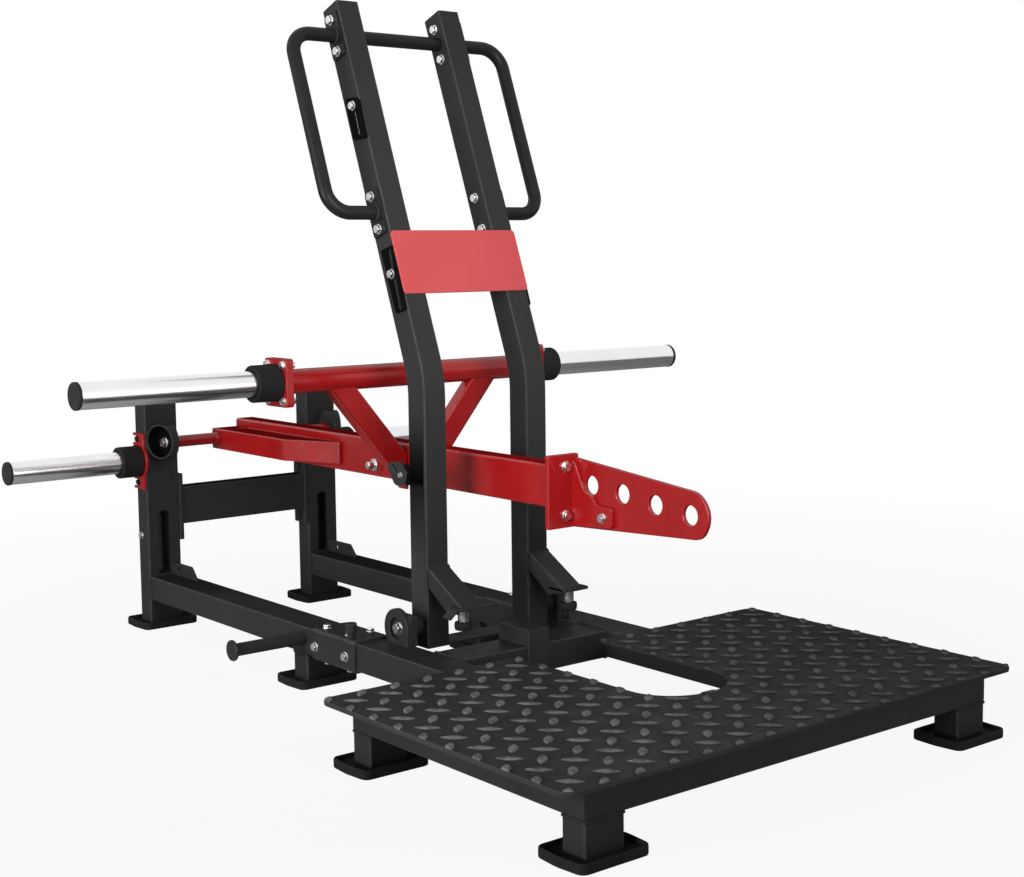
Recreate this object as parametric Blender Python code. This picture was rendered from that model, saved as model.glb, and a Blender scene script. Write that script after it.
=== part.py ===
"""A plate-loaded lever belt-squat machine: base frame, platform, lever arm and tilting handle frame.

Metres, +Z up, X across the machine, the lifter's platform at -Y and the lever's pivot at +Y.
The origin is on the floor under the middle of the machine's footprint.
Lengths along Y below are measured back from the platform frame's front edge, and
add_object moves everything so that the origin falls in the middle.
"""

import math

import bmesh
import bpy
from mathutils import Vector

# Gaps and roundings
GAP = 0.0003
EDGE = 0.003
ROUND_STEPS = 24

# Rectangular tube of the base, three to two
WIDE = 0.075
LOW = 0.0640
HIGH = 0.118
RAIL_OUT = 0.2515
RAIL_IN = RAIL_OUT - WIDE
RAIL_MID = (RAIL_OUT + RAIL_IN) / 2

# Platform
FRAME_HALF = 0.4634
FRAME_DEPTH = 0.588
FRAME_TUBE = 0.050
DECK_HALF = 0.5175
DECK_FRONT = -0.024
DECK_BACK = 0.607
DECK_THICK = 0.0042
DECK_CORNER = 0.024
DECK_LIP = 0.0035
LIP_THICK = 0.005
LIP_END = 0.300
CUT_HALF = 0.097
CUT_FRONT = 0.214
CUT_NOSE = 0.090
CUT_MOUTH = 0.018

# Feet
FOOT_X = 0.0757
FOOT_Y = 0.0505
SHOE_X = 0.0655
SHOE_BOW = 0.0045
SHOE_Y = 0.0522
SHOE_CORNER = 0.014
SHOE_HIGH = 0.0170
SHOE_FLOOR = 0.0100
SHOE_RIM = 0.0055
LEG_DIP = 0.004
MID_FOOT_Y = 1.104

# Rails, joints between the front and rear rails, crossmember
SPLICE_FRONT = 0.900
SPLICE_BACK = 1.052
SPLICE_WALL = 0.0045
KNOB_X = 0.243
KNOB_Y = 0.930
KNOB_TOP = 0.152
KNOB_RADIUS = 0.0115
CROSS_FRONT = 0.667
CROSS_BACK = 0.7515
STOP_HALF = 0.025
STOP_TOP = 0.1500
STOP_LIP = 0.006
STOP_LOW = 0.076

TAB_FRONT = 1.634
TAB_SLOPE = 0.030
TAB_TOP = 0.146
TAB_THICK = 0.006

# Band peg on each rear rail
PEG = 0.0126
PEG_HEAD = 0.0205
PEG_HEAD_THICK = 0.0065
PEG_END = 0.4130
PEG_Y = 1.0915
PEG_Z = 0.0955

# Rear uprights and the crossmember between them
UPRIGHT_OUT = 0.2535
UPRIGHT_IN = 0.1735
UPRIGHT_FRONT = 1.757
UPRIGHT_BACK = 1.807
UPRIGHT_TOP = 0.545
UPRIGHT_MID = (UPRIGHT_OUT + UPRIGHT_IN) / 2
SLOT_HALF = 0.0155
SLOT_LOW = 0.122
SLOT_TOP = 0.268
SLOT_DEPTH = 0.022
TIE_LOW = 0.231
TIE_HIGH = 0.317
EAR_THICK = 0.010
EAR_LOW = 0.195
EAR_HIGH = 0.349

# Lever arm's pivot
PIVOT_Y = 1.7200
PIVOT_Z = 0.4290
CUP_IN = 0.2070
CUP_OUT = 0.2373
CUP_FLOOR = 0.2215
CUP_RADIUS = 0.0395
CUP_HOLLOW = 0.0355
CUP_Z = 0.4315
CUP_SLANT = 0.338
CUP_CLEAR = 0.050
SADDLE_INSET = 0.001
SADDLE_FRONT = 1.7300
SADDLE_LOW = 0.4050
SADDLE_HIGH = 0.4450
JOURNAL = 0.0070
SHAFT = 0.0130
SHAFT_END = 0.2062
JOURNAL_END = 0.2165
BORE_END = 0.2175
RUNNING = 0.0006

# Lever arm
ARM_HALF = 0.0235
ARM_LOW = 0.3890
ARM_HIGH = 0.4680
ARM_FRONT = 0.602
ARM_BACK = 1.750
LEG_OUT = 0.090
LEG_TUBE = 0.045
LEG_LOW = 0.403
LEG_HIGH = 0.450
LEG_BEND_Y = 1.4245
LEG_TOE_Y = 1.290
LEG_TOE = 0.008
HUB_FRONT = 1.6975
HUB_BACK = 1.7465
HUB_RADIUS = 0.0145
STRUT_SLOPE = 1.196
STRUT_TOP_X = 0.2133
STRUT_TOP_Z = 0.600
STRUT_WIDE = 0.062
STRUT_DEEP = 0.030
CROSS_Y = 1.061
CROSS_Z = 0.609
CROSS_TUBE = 0.0240
FLANGE_IN = 0.3005
FLANGE_MID = 0.3085
FLANGE_OUT = 0.3165
FLANGE_Y = 0.040
FLANGE_Z = 0.0465

# Loading horns
SLEEVE = 0.025
COLLAR = 0.0357
ARM_HORN_END = 0.7250
ARM_COLLAR_END = 0.3690
STORE_Z = 0.3840
STORE_HORN_END = 0.5710
STORE_COLLAR_END = 0.3100
STORE_FLANGE = 0.0060
STORE_HALF_Z = 0.064
STORE_DISC = 0.0395
NOTCH_Z = 0.0500
NOTCH_HALF = 0.0078
NOTCH_DEEP = 0.030

# End plate and drilled fin at the arm's front
END_PLATE_X = (-0.031, 0.042)
END_PLATE_FRONT = 0.592
END_PLATE_Z = (0.349, 0.485)
FIN_X = 0.0300
FIN_THICK = 0.0080
FIN_HOLE = 0.0175
LATCH_PIN = (1.148, 0.416)
FIN_HOLES = ((0.543, 0.431), (0.460, 0.424), (0.376, 0.414), (0.290, 0.406))

# Tilting handle frame
HINGE_Y = 0.842
HINGE_Z = 0.149
POST_IN = 0.0975
POST_OUT = 0.1475
POST_DEEP = 0.0540
POST_Y = 0.838
POST_LOW = 0.1135
TIE_PLATE_LOW = 0.1070
BEND_Z = 0.6180
BEND_RADIUS = 0.20
LEAN = math.radians(20.63)
POST_TOP_Z = 1.335
BLOCK_RADIUS = 0.0385
BLOCK_OUT = 0.200
BLOCK_DISC = 0.0105
BLOCK_IN = 0.175
BLOCK_TOP = 0.1765
BLOCK_FRONT = 0.806
BLOCK_BACK = 0.866
BLOCK_RECESS = 0.0215
BLOCK_RECESS_DEEP = 0.008
PIN_BOSS = 0.0190
PIN = 0.0080
BORE = 0.0088
PLATE_LOW = 0.198
BRACE_PLATE_IN = {"left": 0.066, "right": 0.0975}
BUMPER_X = 0.1285
BUMPER_Y = 0.725
BUMPER_RADIUS = 0.0168
BUMPER_LOW = 0.1572
BUMPER_TOP = 0.1720
STUD_RADIUS = 0.0104
LOOP_RADIUS = 0.0134
LOOP_OUT = 0.253
LOOP_TOP_Z = 1.275
LOOP_LOW_Z = 0.930
LOOP_BEND = 0.045
LOOP_PLATE = 0.0042
PANEL_HALF = 0.149
PANEL_THICK = 0.004

# The origin lies this far behind the platform frame's front edge, midway between the end shoes
MIDDLE_Y = (FOOT_Y / 2 + (UPRIGHT_FRONT + UPRIGHT_BACK) / 2) / 2

# Finishes: base colour, metallic, roughness
BLACK = "black_steel"
RED = "red_steel"
BRIGHT = "bright_steel"
DECK = "deck_steel"
RUBBER = "black_rubber"
FINISHES = {
    BLACK: ((0.030, 0.030, 0.031), 0.0, 0.42),
    RED: ((0.420, 0.006, 0.008), 0.0, 0.30),
    BRIGHT: ((0.780, 0.780, 0.790), 1.0, 0.18),
    DECK: ((0.060, 0.060, 0.058), 0.3, 0.50),
    RUBBER: ((0.016, 0.016, 0.016), 0.0, 0.75),
}


def clear_scene():
    for old in list(bpy.data.objects):
        bpy.data.objects.remove(old, do_unlink=True)


def finish(name):
    """Return the shared material of one finish."""
    ready = bpy.data.materials.get(name)
    if ready:
        return ready
    colour, metallic, roughness = FINISHES[name]
    material = bpy.data.materials.new(name)
    material.use_nodes = True
    shader = material.node_tree.nodes["Principled BSDF"]
    shader.inputs["Base Color"].default_value = (*colour, 1.0)
    shader.inputs["Metallic"].default_value = metallic
    shader.inputs["Roughness"].default_value = roughness
    return material


def add_object(name, points, faces, look, smooth=False):
    """Make one named object whose origin is in the middle of its box."""
    points = [Vector((p[0], p[1] - MIDDLE_Y, p[2])) for p in points]
    low = Vector([min(p[i] for p in points) for i in range(3)])
    high = Vector([max(p[i] for p in points) for i in range(3)])
    centre = (low + high) / 2
    mesh = bpy.data.meshes.new(name)
    mesh.from_pydata([p - centre for p in points], [], faces)
    shape = bmesh.new()
    shape.from_mesh(mesh)
    bmesh.ops.recalc_face_normals(shape, faces=shape.faces)
    shape.to_mesh(mesh)
    shape.free()
    mesh.materials.append(finish(look))
    thing = bpy.data.objects.new(name, mesh)
    thing.location = centre
    bpy.context.scene.collection.objects.link(thing)
    if smooth:
        mesh.shade_smooth()
        mesh.set_sharp_from_angle(angle=math.radians(35))
    return thing


def soften(thing, width=EDGE, segments=2):
    """Round the sharp edges of a straight-sided piece."""
    bevel = thing.modifiers.new("edges", "BEVEL")
    bevel.width = width
    bevel.segments = segments
    bevel.limit_method = "ANGLE"
    bevel.angle_limit = math.radians(40)
    return thing


def combine(thing, tool, operation):
    """Join a tool to a piece, or cut it out of the piece, and hide the tool."""
    step = thing.modifiers.new(tool.name, "BOOLEAN")
    step.operation = operation
    step.object = tool
    step.solver = "EXACT"
    tool.hide_render = True
    tool.display_type = "WIRE"
    return thing


def block(name, x, y, z, look, edge=EDGE):
    """Make a box from its low and high limits along each axis."""
    points = [(a, b, c) for c in z for b in y for a in x]
    faces = [(0, 1, 3, 2), (4, 5, 7, 6), (0, 1, 5, 4), (2, 3, 7, 6), (0, 2, 6, 4), (1, 3, 7, 5)]
    thing = add_object(name, points, faces, look)
    return soften(thing, edge) if edge else thing


def prism(name, outline, axis, low, high, look, edge=0.0, smooth=False):
    """Push a flat outline out along an axis; the outline holds the other two coordinates in order."""
    def place(a, b, level):
        return {"x": (level, a, b), "y": (a, level, b), "z": (a, b, level)}[axis]

    count = len(outline)
    points = [place(a, b, level) for level in (low, high) for a, b in outline]
    sides = [(i, (i + 1) % count, (i + 1) % count + count, i + count) for i in range(count)]
    caps = [tuple(range(count)), tuple(range(2 * count - 1, count - 1, -1))]
    thing = add_object(name, points, sides + caps, look, smooth)
    return soften(thing, edge) if edge else thing


def arc(centre, radius, start, end, steps):
    """List points on an arc of a circle, angles in degrees."""
    turns = [math.radians(start + (end - start) * i / steps) for i in range(steps + 1)]
    return [(centre[0] + radius * math.cos(t), centre[1] + radius * math.sin(t)) for t in turns]


def rounded(corners, steps=4):
    """Round a polygon; each corner is (a, b, radius)."""
    result = []
    count = len(corners)
    for i, (a, b, radius) in enumerate(corners):
        here = Vector((a, b))
        back = (Vector(corners[i - 1][:2]) - here).normalized()
        ahead = (Vector(corners[(i + 1) % count][:2]) - here).normalized()
        if radius == 0:
            result.append((a, b))
            continue
        half = back.angle(ahead) / 2
        reach = radius / math.tan(half)
        centre = here + (back + ahead).normalized() * radius / math.sin(half)
        first = here + back * reach - centre
        last = here + ahead * reach - centre
        turn = first.angle_signed(last)
        for k in range(steps + 1):
            spin = -turn * k / steps
            c, s = math.cos(spin), math.sin(spin)
            result.append((centre.x + first.x * c - first.y * s, centre.y + first.x * s + first.y * c))
    return result


def turned(name, profile, y, z, look, steps=ROUND_STEPS):
    """Spin a profile of (x, radius) points about a line along X; its ends are closed flat."""
    points, faces = [], []
    for x, radius in profile:
        for k in range(steps):
            t = 2 * math.pi * k / steps
            points.append((x, y + radius * math.cos(t), z + radius * math.sin(t)))
    for row in range(len(profile) - 1):
        for k in range(steps):
            a, b = row * steps + k, row * steps + (k + 1) % steps
            faces.append((a, b, b + steps, a + steps))
    faces.append(tuple(range(steps)))
    faces.append(tuple(range(len(points) - 1, len(points) - steps - 1, -1)))
    return add_object(name, points, faces, look, smooth=True)


def rod(name, start, end, radius, look, steps=ROUND_STEPS):
    """Make a plain round bar between two points."""
    return swept(name, [Vector(start), Vector(end)], radius, look, steps)


def swept(name, path, radius, look, steps=12):
    """Carry a circle along a path of points, turning it with the path."""
    path = [Vector(p) for p in path]
    points, faces = [], []
    side = (path[1] - path[0]).orthogonal().normalized()
    for i, p in enumerate(path):
        behind = path[i] - path[i - 1] if i else path[1] - path[0]
        ahead = path[i + 1] - path[i] if i < len(path) - 1 else behind
        along = (behind.normalized() + ahead.normalized()).normalized()
        side = (side - along * side.dot(along)).normalized()
        other = along.cross(side)
        for k in range(steps):
            t = 2 * math.pi * k / steps
            points.append(p + (side * math.cos(t) + other * math.sin(t)) * radius)
    for row in range(len(path) - 1):
        for k in range(steps):
            a, b = row * steps + k, row * steps + (k + 1) % steps
            faces.append((a, b, b + steps, a + steps))
    faces.append(tuple(range(steps)))
    faces.append(tuple(range(len(points) - 1, len(points) - steps - 1, -1)))
    return add_object(name, points, faces, look, smooth=True)


def span(side, inner, outer):
    """Limits along X of a piece on the left (-1) or the right (+1) of the middle."""
    return tuple(sorted((side * inner, side * outer)))


def lean_y(z):
    """Y of the posts' centre line at a height above their bend."""
    return POST_Y + (z - BEND_Z) * math.tan(LEAN)


def lean_point(along, out):
    """Y and z of a point that far above the bend along the lean, and that far forward of the centre line."""
    y = POST_Y + along * math.sin(LEAN) - out * math.cos(LEAN)
    z = BEND_Z + along * math.cos(LEAN) + out * math.sin(LEAN)
    return y, z


SIDES = (("left", -1), ("right", 1))
PLATFORM_FEET = (("front", FOOT_Y / 2), ("back", FRAME_DEPTH - FOOT_Y / 2))


# Feet

def shoe_outline(x, y, inset=0.0):
    """Plan of a rubber shoe: straight along X, gently bowed at both ends."""
    corner = SHOE_CORNER - inset * 0.6
    half_x = SHOE_X - inset
    half_y = SHOE_Y - inset
    result = []
    for side in (1, -1):
        result += [(x + side * a, y + side * b) for a, b in
                   arc((half_x - corner, -half_y + corner), corner, -90, -22, 3)]
        result.append((x + side * (half_x + SHOE_BOW), y))
        result += [(x + side * a, y + side * b) for a, b in
                   arc((half_x - corner, half_y - corner), corner, 22, 90, 3)]
    return result


def shoe(name, x, y):
    """Rubber shoe with a raised rim round its floor."""
    thing = prism(name, shoe_outline(x, y), "z", 0.0, SHOE_HIGH, RUBBER)
    hollow = prism(name + "_hollow", shoe_outline(x, y, SHOE_RIM), "z", SHOE_FLOOR, 2 * SHOE_HIGH, RUBBER)
    return combine(thing, hollow, "DIFFERENCE")


def foot(name, x, y):
    """Short tube leg standing in a rubber shoe."""
    thing = shoe(name, x, y)
    leg = block(
        name + "_leg",
        (x - FOOT_X / 2, x + FOOT_X / 2),
        (y - FOOT_Y / 2, y + FOOT_Y / 2),
        (SHOE_FLOOR - LEG_DIP, LOW - GAP),
        BLACK,
    )
    return combine(thing, leg, "UNION")


def feet():
    for side_name, side in SIDES:
        for end_name, y in PLATFORM_FEET:
            foot(f"platform_foot_{end_name}_{side_name}", side * (FRAME_HALF - FOOT_X / 2), y)
        foot(f"rail_foot_{side_name}", side * RAIL_MID, MID_FOOT_Y)
        shoe(f"upright_shoe_{side_name}", side * UPRIGHT_MID, (UPRIGHT_FRONT + UPRIGHT_BACK) / 2)


# Base frame

def platform():
    """Tube frame of the platform and its chequer plate deck, open at the back for the fin."""
    inner = FRAME_HALF - FRAME_TUBE
    back = FRAME_DEPTH - FRAME_TUBE
    front_plan = [(-FRAME_HALF + GAP, 0.0), (FRAME_HALF - GAP, 0.0), (inner - GAP, FRAME_TUBE),
                  (-inner + GAP, FRAME_TUBE)]
    prism("platform_front_tube", front_plan, "z", LOW, HIGH, BLACK, edge=0.002)
    side_plan = [(FRAME_HALF, GAP), (FRAME_HALF, FRAME_DEPTH - GAP), (inner, back - GAP),
                 (inner, FRAME_TUBE + GAP)]
    back_plan = [(RAIL_OUT + GAP, back), (inner - GAP, back), (FRAME_HALF - GAP, FRAME_DEPTH),
                 (RAIL_OUT + GAP, FRAME_DEPTH)]
    for side_name, side in SIDES:
        for place_name, plan in (("side", side_plan), ("back", back_plan)):
            prism(f"platform_{place_name}_tube_{side_name}", [(side * x, y) for x, y in plan], "z", LOW, HIGH,
                  BLACK, edge=0.002)
    outline = rounded([
        (-DECK_HALF, DECK_FRONT, DECK_CORNER),
        (DECK_HALF, DECK_FRONT, DECK_CORNER),
        (DECK_HALF, DECK_BACK, DECK_CORNER),
        (CUT_HALF, DECK_BACK, CUT_MOUTH),
        (CUT_HALF, CUT_FRONT, CUT_NOSE),
        (-CUT_HALF, CUT_FRONT, CUT_NOSE),
        (-CUT_HALF, DECK_BACK, CUT_MOUTH),
        (-DECK_HALF, DECK_BACK, DECK_CORNER),
    ], steps=6)
    deck = prism("deck_plate", outline, "z", HIGH + GAP, HIGH + GAP + DECK_THICK, DECK)
    lip = prism("deck_lip", lip_plan(), "z", HIGH + GAP - DECK_LIP, HIGH + GAP + DECK_THICK / 2, DECK)
    combine(deck, lip, "UNION")


def lip_plan():
    """Plan of the lip under the deck's rim: it runs round the front and both sides, and ends at the back."""
    half, front, back = DECK_HALF - GAP, DECK_FRONT + GAP, DECK_BACK - GAP
    corner = DECK_CORNER - GAP
    inner = corner - LIP_THICK
    return rounded([
        (-LIP_END, back, 0.0), (-half, back, corner), (-half, front, corner), (half, front, corner),
        (half, back, corner), (LIP_END, back, 0.0), (LIP_END, back - LIP_THICK, 0.0),
        (half - LIP_THICK, back - LIP_THICK, inner), (half - LIP_THICK, front + LIP_THICK, inner),
        (-half + LIP_THICK, front + LIP_THICK, inner), (-half + LIP_THICK, back - LIP_THICK, inner),
        (-LIP_END, back - LIP_THICK, 0.0),
    ], steps=6)


def rails():
    """Side rails in two lengths, bolted end to end at a splice, and the crossmember between them."""
    for side_name, side in SIDES:
        across = span(side, RAIL_IN, RAIL_OUT)
        front_run = (FRAME_TUBE + GAP, SPLICE_FRONT - GAP)
        rear_run = (SPLICE_BACK + GAP, UPRIGHT_FRONT - GAP)
        block(f"front_rail_{side_name}", across, front_run, (LOW, HIGH), BLACK)
        rear = block(f"rear_rail_{side_name}", across, rear_run, (LOW, HIGH), BLACK)
        tab_outline = [(TAB_FRONT, HIGH - EDGE), (UPRIGHT_FRONT - GAP, HIGH - EDGE),
                       (UPRIGHT_FRONT - GAP, TAB_TOP), (TAB_FRONT + TAB_SLOPE, TAB_TOP)]
        tab_left = side * UPRIGHT_MID + SLOT_HALF
        tab = prism(f"rail_tab_{side_name}", tab_outline, "x", tab_left, tab_left + TAB_THICK, BLACK)
        combine(rear, tab, "UNION")
        splice = block(
            f"rail_splice_{side_name}",
            span(side, RAIL_IN - SPLICE_WALL, RAIL_OUT + SPLICE_WALL),
            (SPLICE_FRONT, SPLICE_BACK),
            (LOW - SPLICE_WALL, HIGH + SPLICE_WALL),
            BLACK,
        )
        knob_x = side * KNOB_X
        knob = rod(f"splice_pin_{side_name}", (knob_x, KNOB_Y, HIGH), (knob_x, KNOB_Y, KNOB_TOP),
                   KNOB_RADIUS, BLACK, steps=16)
        combine(splice, knob, "UNION")
        peg_profile = [
            (RAIL_OUT + GAP, PEG), (PEG_END - PEG_HEAD_THICK, PEG),
            (PEG_END - PEG_HEAD_THICK, PEG_HEAD), (PEG_END, PEG_HEAD),
        ]
        turned(f"band_peg_{side_name}", [(side * x, r) for x, r in peg_profile], PEG_Y, PEG_Z, BLACK,
               steps=20)
    inner = RAIL_IN - GAP
    block("front_crossmember", (-inner, inner), (CROSS_FRONT, CROSS_BACK), (LOW, HIGH), BLACK)
    lip = CROSS_FRONT - STOP_LIP
    stop_side = [(lip, STOP_LOW), (CROSS_FRONT - GAP, STOP_LOW), (CROSS_FRONT - GAP, HIGH + GAP),
                 (CROSS_BACK, HIGH + GAP), (CROSS_BACK, STOP_TOP), (lip, STOP_TOP)]
    prism("arm_stop", stop_side, "x", -STOP_HALF, STOP_HALF, BLACK, edge=0.001)


def uprights():
    """Rear uprights with arched slots, and the bare crossmember plate between them."""
    for side_name, side in SIDES:
        upright = block(
            f"rear_upright_{side_name}",
            span(side, UPRIGHT_IN, UPRIGHT_OUT),
            (UPRIGHT_FRONT, UPRIGHT_BACK),
            (SHOE_FLOOR + GAP, UPRIGHT_TOP),
            BLACK,
        )
        x = side * UPRIGHT_MID
        top = arc((x, SLOT_TOP - SLOT_HALF), SLOT_HALF, 0, 180, 8)
        outline = [(x - SLOT_HALF, SLOT_LOW), (x + SLOT_HALF, SLOT_LOW)] + top
        slot = prism(f"upright_slot_{side_name}", outline, "y", UPRIGHT_FRONT - SLOT_DEPTH,
                     UPRIGHT_FRONT + SLOT_DEPTH, BLACK)
        combine(upright, slot, "DIFFERENCE")
    inner = UPRIGHT_IN - GAP
    plate = block("rear_crossmember", (-inner, inner), (UPRIGHT_FRONT + 0.001, UPRIGHT_BACK - 0.004),
                  (TIE_LOW, TIE_HIGH), BLACK)
    for side_name, side in SIDES:
        ear = block(f"crossmember_ear_{side_name}", span(side, inner - EAR_THICK, inner),
                    (UPRIGHT_FRONT - 0.001, UPRIGHT_BACK), (EAR_LOW, EAR_HIGH), BLACK, edge=0.001)
        combine(plate, ear, "UNION")


def bearings():
    """Round cups in front of the uprights, open outwards, that carry the lever arm's journals."""
    for side_name, side in SIDES:
        def along(name, inner, outer, radius, steps, z=CUP_Z, side=side):
            return rod(name, (side * inner, PIVOT_Y, z), (side * outer, PIVOT_Y, z), radius, BLACK, steps)

        cup = slanted(along(f"pivot_cup_{side_name}", CUP_IN, CUP_OUT, CUP_RADIUS, 32), side)
        saddle = block(f"cup_saddle_{side_name}", span(side, CUP_IN + SADDLE_INSET, CUP_OUT - SADDLE_INSET),
                       (SADDLE_FRONT, UPRIGHT_FRONT - GAP), (SADDLE_LOW, SADDLE_HIGH), BLACK, edge=0)
        combine(cup, saddle, "UNION")
        flat = block(f"cup_flat_{side_name}", span(side, CUP_IN - CUP_CLEAR, CUP_OUT + CUP_CLEAR),
                     (UPRIGHT_FRONT - GAP, UPRIGHT_BACK), (CUP_Z - CUP_CLEAR, CUP_Z + CUP_CLEAR), BLACK,
                     edge=0)
        combine(cup, flat, "DIFFERENCE")
        hollow = slanted(along(f"cup_hollow_{side_name}", CUP_FLOOR, CUP_OUT + CUP_CLEAR, CUP_HOLLOW, 32), side)
        combine(cup, hollow, "DIFFERENCE")
        bore = along(f"cup_bore_{side_name}", CUP_IN - CUP_CLEAR, BORE_END, JOURNAL + RUNNING, 16, PIVOT_Z)
        combine(cup, bore, "DIFFERENCE")


def slanted(thing, side):
    """Slide a round bar's outer end along X by the slant times how far back each point is."""
    for vertex in thing.data.vertices:
        if side * vertex.co.x > (CUP_OUT + CUP_FLOOR) / 2:
            vertex.co.x += side * CUP_SLANT * (vertex.co.y - PIVOT_Y)
    return thing


def horn_profile(side, root, collar_end, end):
    """Loading sleeve with a collar at its root and a short end cap."""
    cap = end - 0.006
    shape = [
        (root, COLLAR), (collar_end - 0.0015, COLLAR), (collar_end, COLLAR - 0.0015), (collar_end, SLEEVE),
        (cap, SLEEVE), (cap + 0.001, SLEEVE + 0.0006), (end - 0.002, SLEEVE + 0.0006), (end, SLEEVE - 0.002),
    ]
    return [(side * x, radius) for x, radius in shape]


def store_flange_outline(y):
    """Side view of a storage flange: a strap as deep as the upright, swelling into a disc behind the horn."""
    front, back = UPRIGHT_FRONT, UPRIGHT_BACK
    half = (back - front) / 2
    spread = math.degrees(math.asin(half / STORE_DISC))
    result = [(front, STORE_Z - STORE_HALF_Z), (back, STORE_Z - STORE_HALF_Z)]
    for sign in (-1, 1):
        if sign == 1:
            result += arc((y, STORE_Z), STORE_DISC, -90 + spread, 90 - spread, 10)
        middle = STORE_Z + sign * NOTCH_Z
        result += [(back, middle - NOTCH_HALF), (back - NOTCH_DEEP, middle - NOTCH_HALF),
                   (back - NOTCH_DEEP, middle + NOTCH_HALF), (back, middle + NOTCH_HALF)]
    result += [(back, STORE_Z + STORE_HALF_Z), (front, STORE_Z + STORE_HALF_Z)]
    return result + arc((y, STORE_Z), STORE_DISC, 90 + spread, 270 - spread, 10)


def storage_horns():
    """Plate storage sleeves on red flanges on the uprights' outer faces."""
    y = (UPRIGHT_FRONT + UPRIGHT_BACK) / 2
    root = UPRIGHT_OUT + GAP + STORE_FLANGE
    for side_name, side in SIDES:
        prism(f"storage_flange_{side_name}", store_flange_outline(y), "x", *span(side, UPRIGHT_OUT + GAP, root),
              RED)
        turned(f"storage_horn_{side_name}", horn_profile(side, root + GAP, STORE_COLLAR_END, STORE_HORN_END),
               y, STORE_Z, BRIGHT)


# Lever arm

def arm_frame():
    """Main beam, fork legs with their journals, and the V of struts under the cross tube."""
    block("arm_beam", (-ARM_HALF, ARM_HALF), (ARM_FRONT, ARM_BACK), (ARM_LOW, ARM_HIGH), RED)
    beam_side = ARM_HALF + GAP
    for side_name, side in SIDES:
        inner = LEG_OUT - LEG_TUBE
        outline = [
            (beam_side, HUB_FRONT), (inner, HUB_FRONT), (inner, LEG_BEND_Y + LEG_TUBE / 2),
            (beam_side, LEG_TOE_Y + 2 * LEG_TUBE), (beam_side, LEG_TOE_Y), (beam_side + LEG_TOE, LEG_TOE_Y),
            (LEG_OUT, LEG_BEND_Y), (LEG_OUT, HUB_BACK), (beam_side, HUB_BACK),
        ]
        leg = prism(f"fork_leg_{side_name}", [(side * x, y) for x, y in outline], "z", LEG_LOW, LEG_HIGH,
                    RED, edge=EDGE)
        shaft_profile = [(LEG_OUT - 0.020, HUB_RADIUS), (LEG_OUT + 0.004, HUB_RADIUS), (LEG_OUT + 0.010, SHAFT),
                         (SHAFT_END, SHAFT), (SHAFT_END, JOURNAL), (JOURNAL_END, JOURNAL)]
        shaft = turned(f"pivot_shaft_{side_name}", [(side * x, r) for x, r in shaft_profile], PIVOT_Y, PIVOT_Z,
                       RED, steps=16)
        combine(leg, shaft, "UNION")
    foot_x = ARM_HALF + GAP
    outline = [
        (foot_x, strut_height(foot_x, 0.0)), (STRUT_TOP_X, STRUT_TOP_Z),
        (STRUT_TOP_X - STRUT_WIDE, STRUT_TOP_Z), (foot_x, strut_height(foot_x, STRUT_WIDE)),
    ]
    for side_name, side in SIDES:
        strut = prism(f"arm_strut_{side_name}", [(side * x, z) for x, z in outline], "y",
                      CROSS_Y - STRUT_DEEP / 2, CROSS_Y + STRUT_DEEP / 2, RED, edge=0.002)
        seat = rod(f"strut_seat_{side_name}", (side * foot_x, CROSS_Y, CROSS_Z),
                   (side * (FLANGE_IN - 0.04), CROSS_Y, CROSS_Z), CROSS_TUBE + GAP, RED)
        combine(strut, seat, "DIFFERENCE")


def strut_height(x, inward):
    """Height of a strut's lower edge at x, or of its upper edge when moved that far inward."""
    return STRUT_TOP_Z - (STRUT_TOP_X - inward - x) * STRUT_SLOPE


def flange_outline():
    """Side view of the square flanges on the cross tube."""
    return rounded([
        (CROSS_Y - FLANGE_Y, CROSS_Z - FLANGE_Z, 0.006), (CROSS_Y + FLANGE_Y, CROSS_Z - FLANGE_Z, 0.006),
        (CROSS_Y + FLANGE_Y, CROSS_Z + FLANGE_Z, 0.006), (CROSS_Y - FLANGE_Y, CROSS_Z + FLANGE_Z, 0.006),
    ])


def arm_horns():
    """Cross tube with a square flange at each end, and the loading horns bolted to them."""
    tube = rod("cross_tube", (-FLANGE_IN - 0.002, CROSS_Y, CROSS_Z), (FLANGE_IN + 0.002, CROSS_Y, CROSS_Z),
               CROSS_TUBE, RED)
    for side_name, side in SIDES:
        inner = prism(f"inner_flange_{side_name}", flange_outline(), "x", *span(side, FLANGE_IN, FLANGE_MID),
                      RED)
        combine(tube, inner, "UNION")
        prism(f"horn_flange_{side_name}", flange_outline(), "x", *span(side, FLANGE_MID + GAP, FLANGE_OUT),
              RED)
        profile = horn_profile(side, FLANGE_OUT + GAP, ARM_COLLAR_END, ARM_HORN_END)
        turned(f"loading_horn_{side_name}", profile, CROSS_Y, CROSS_Z, BRIGHT)


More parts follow.
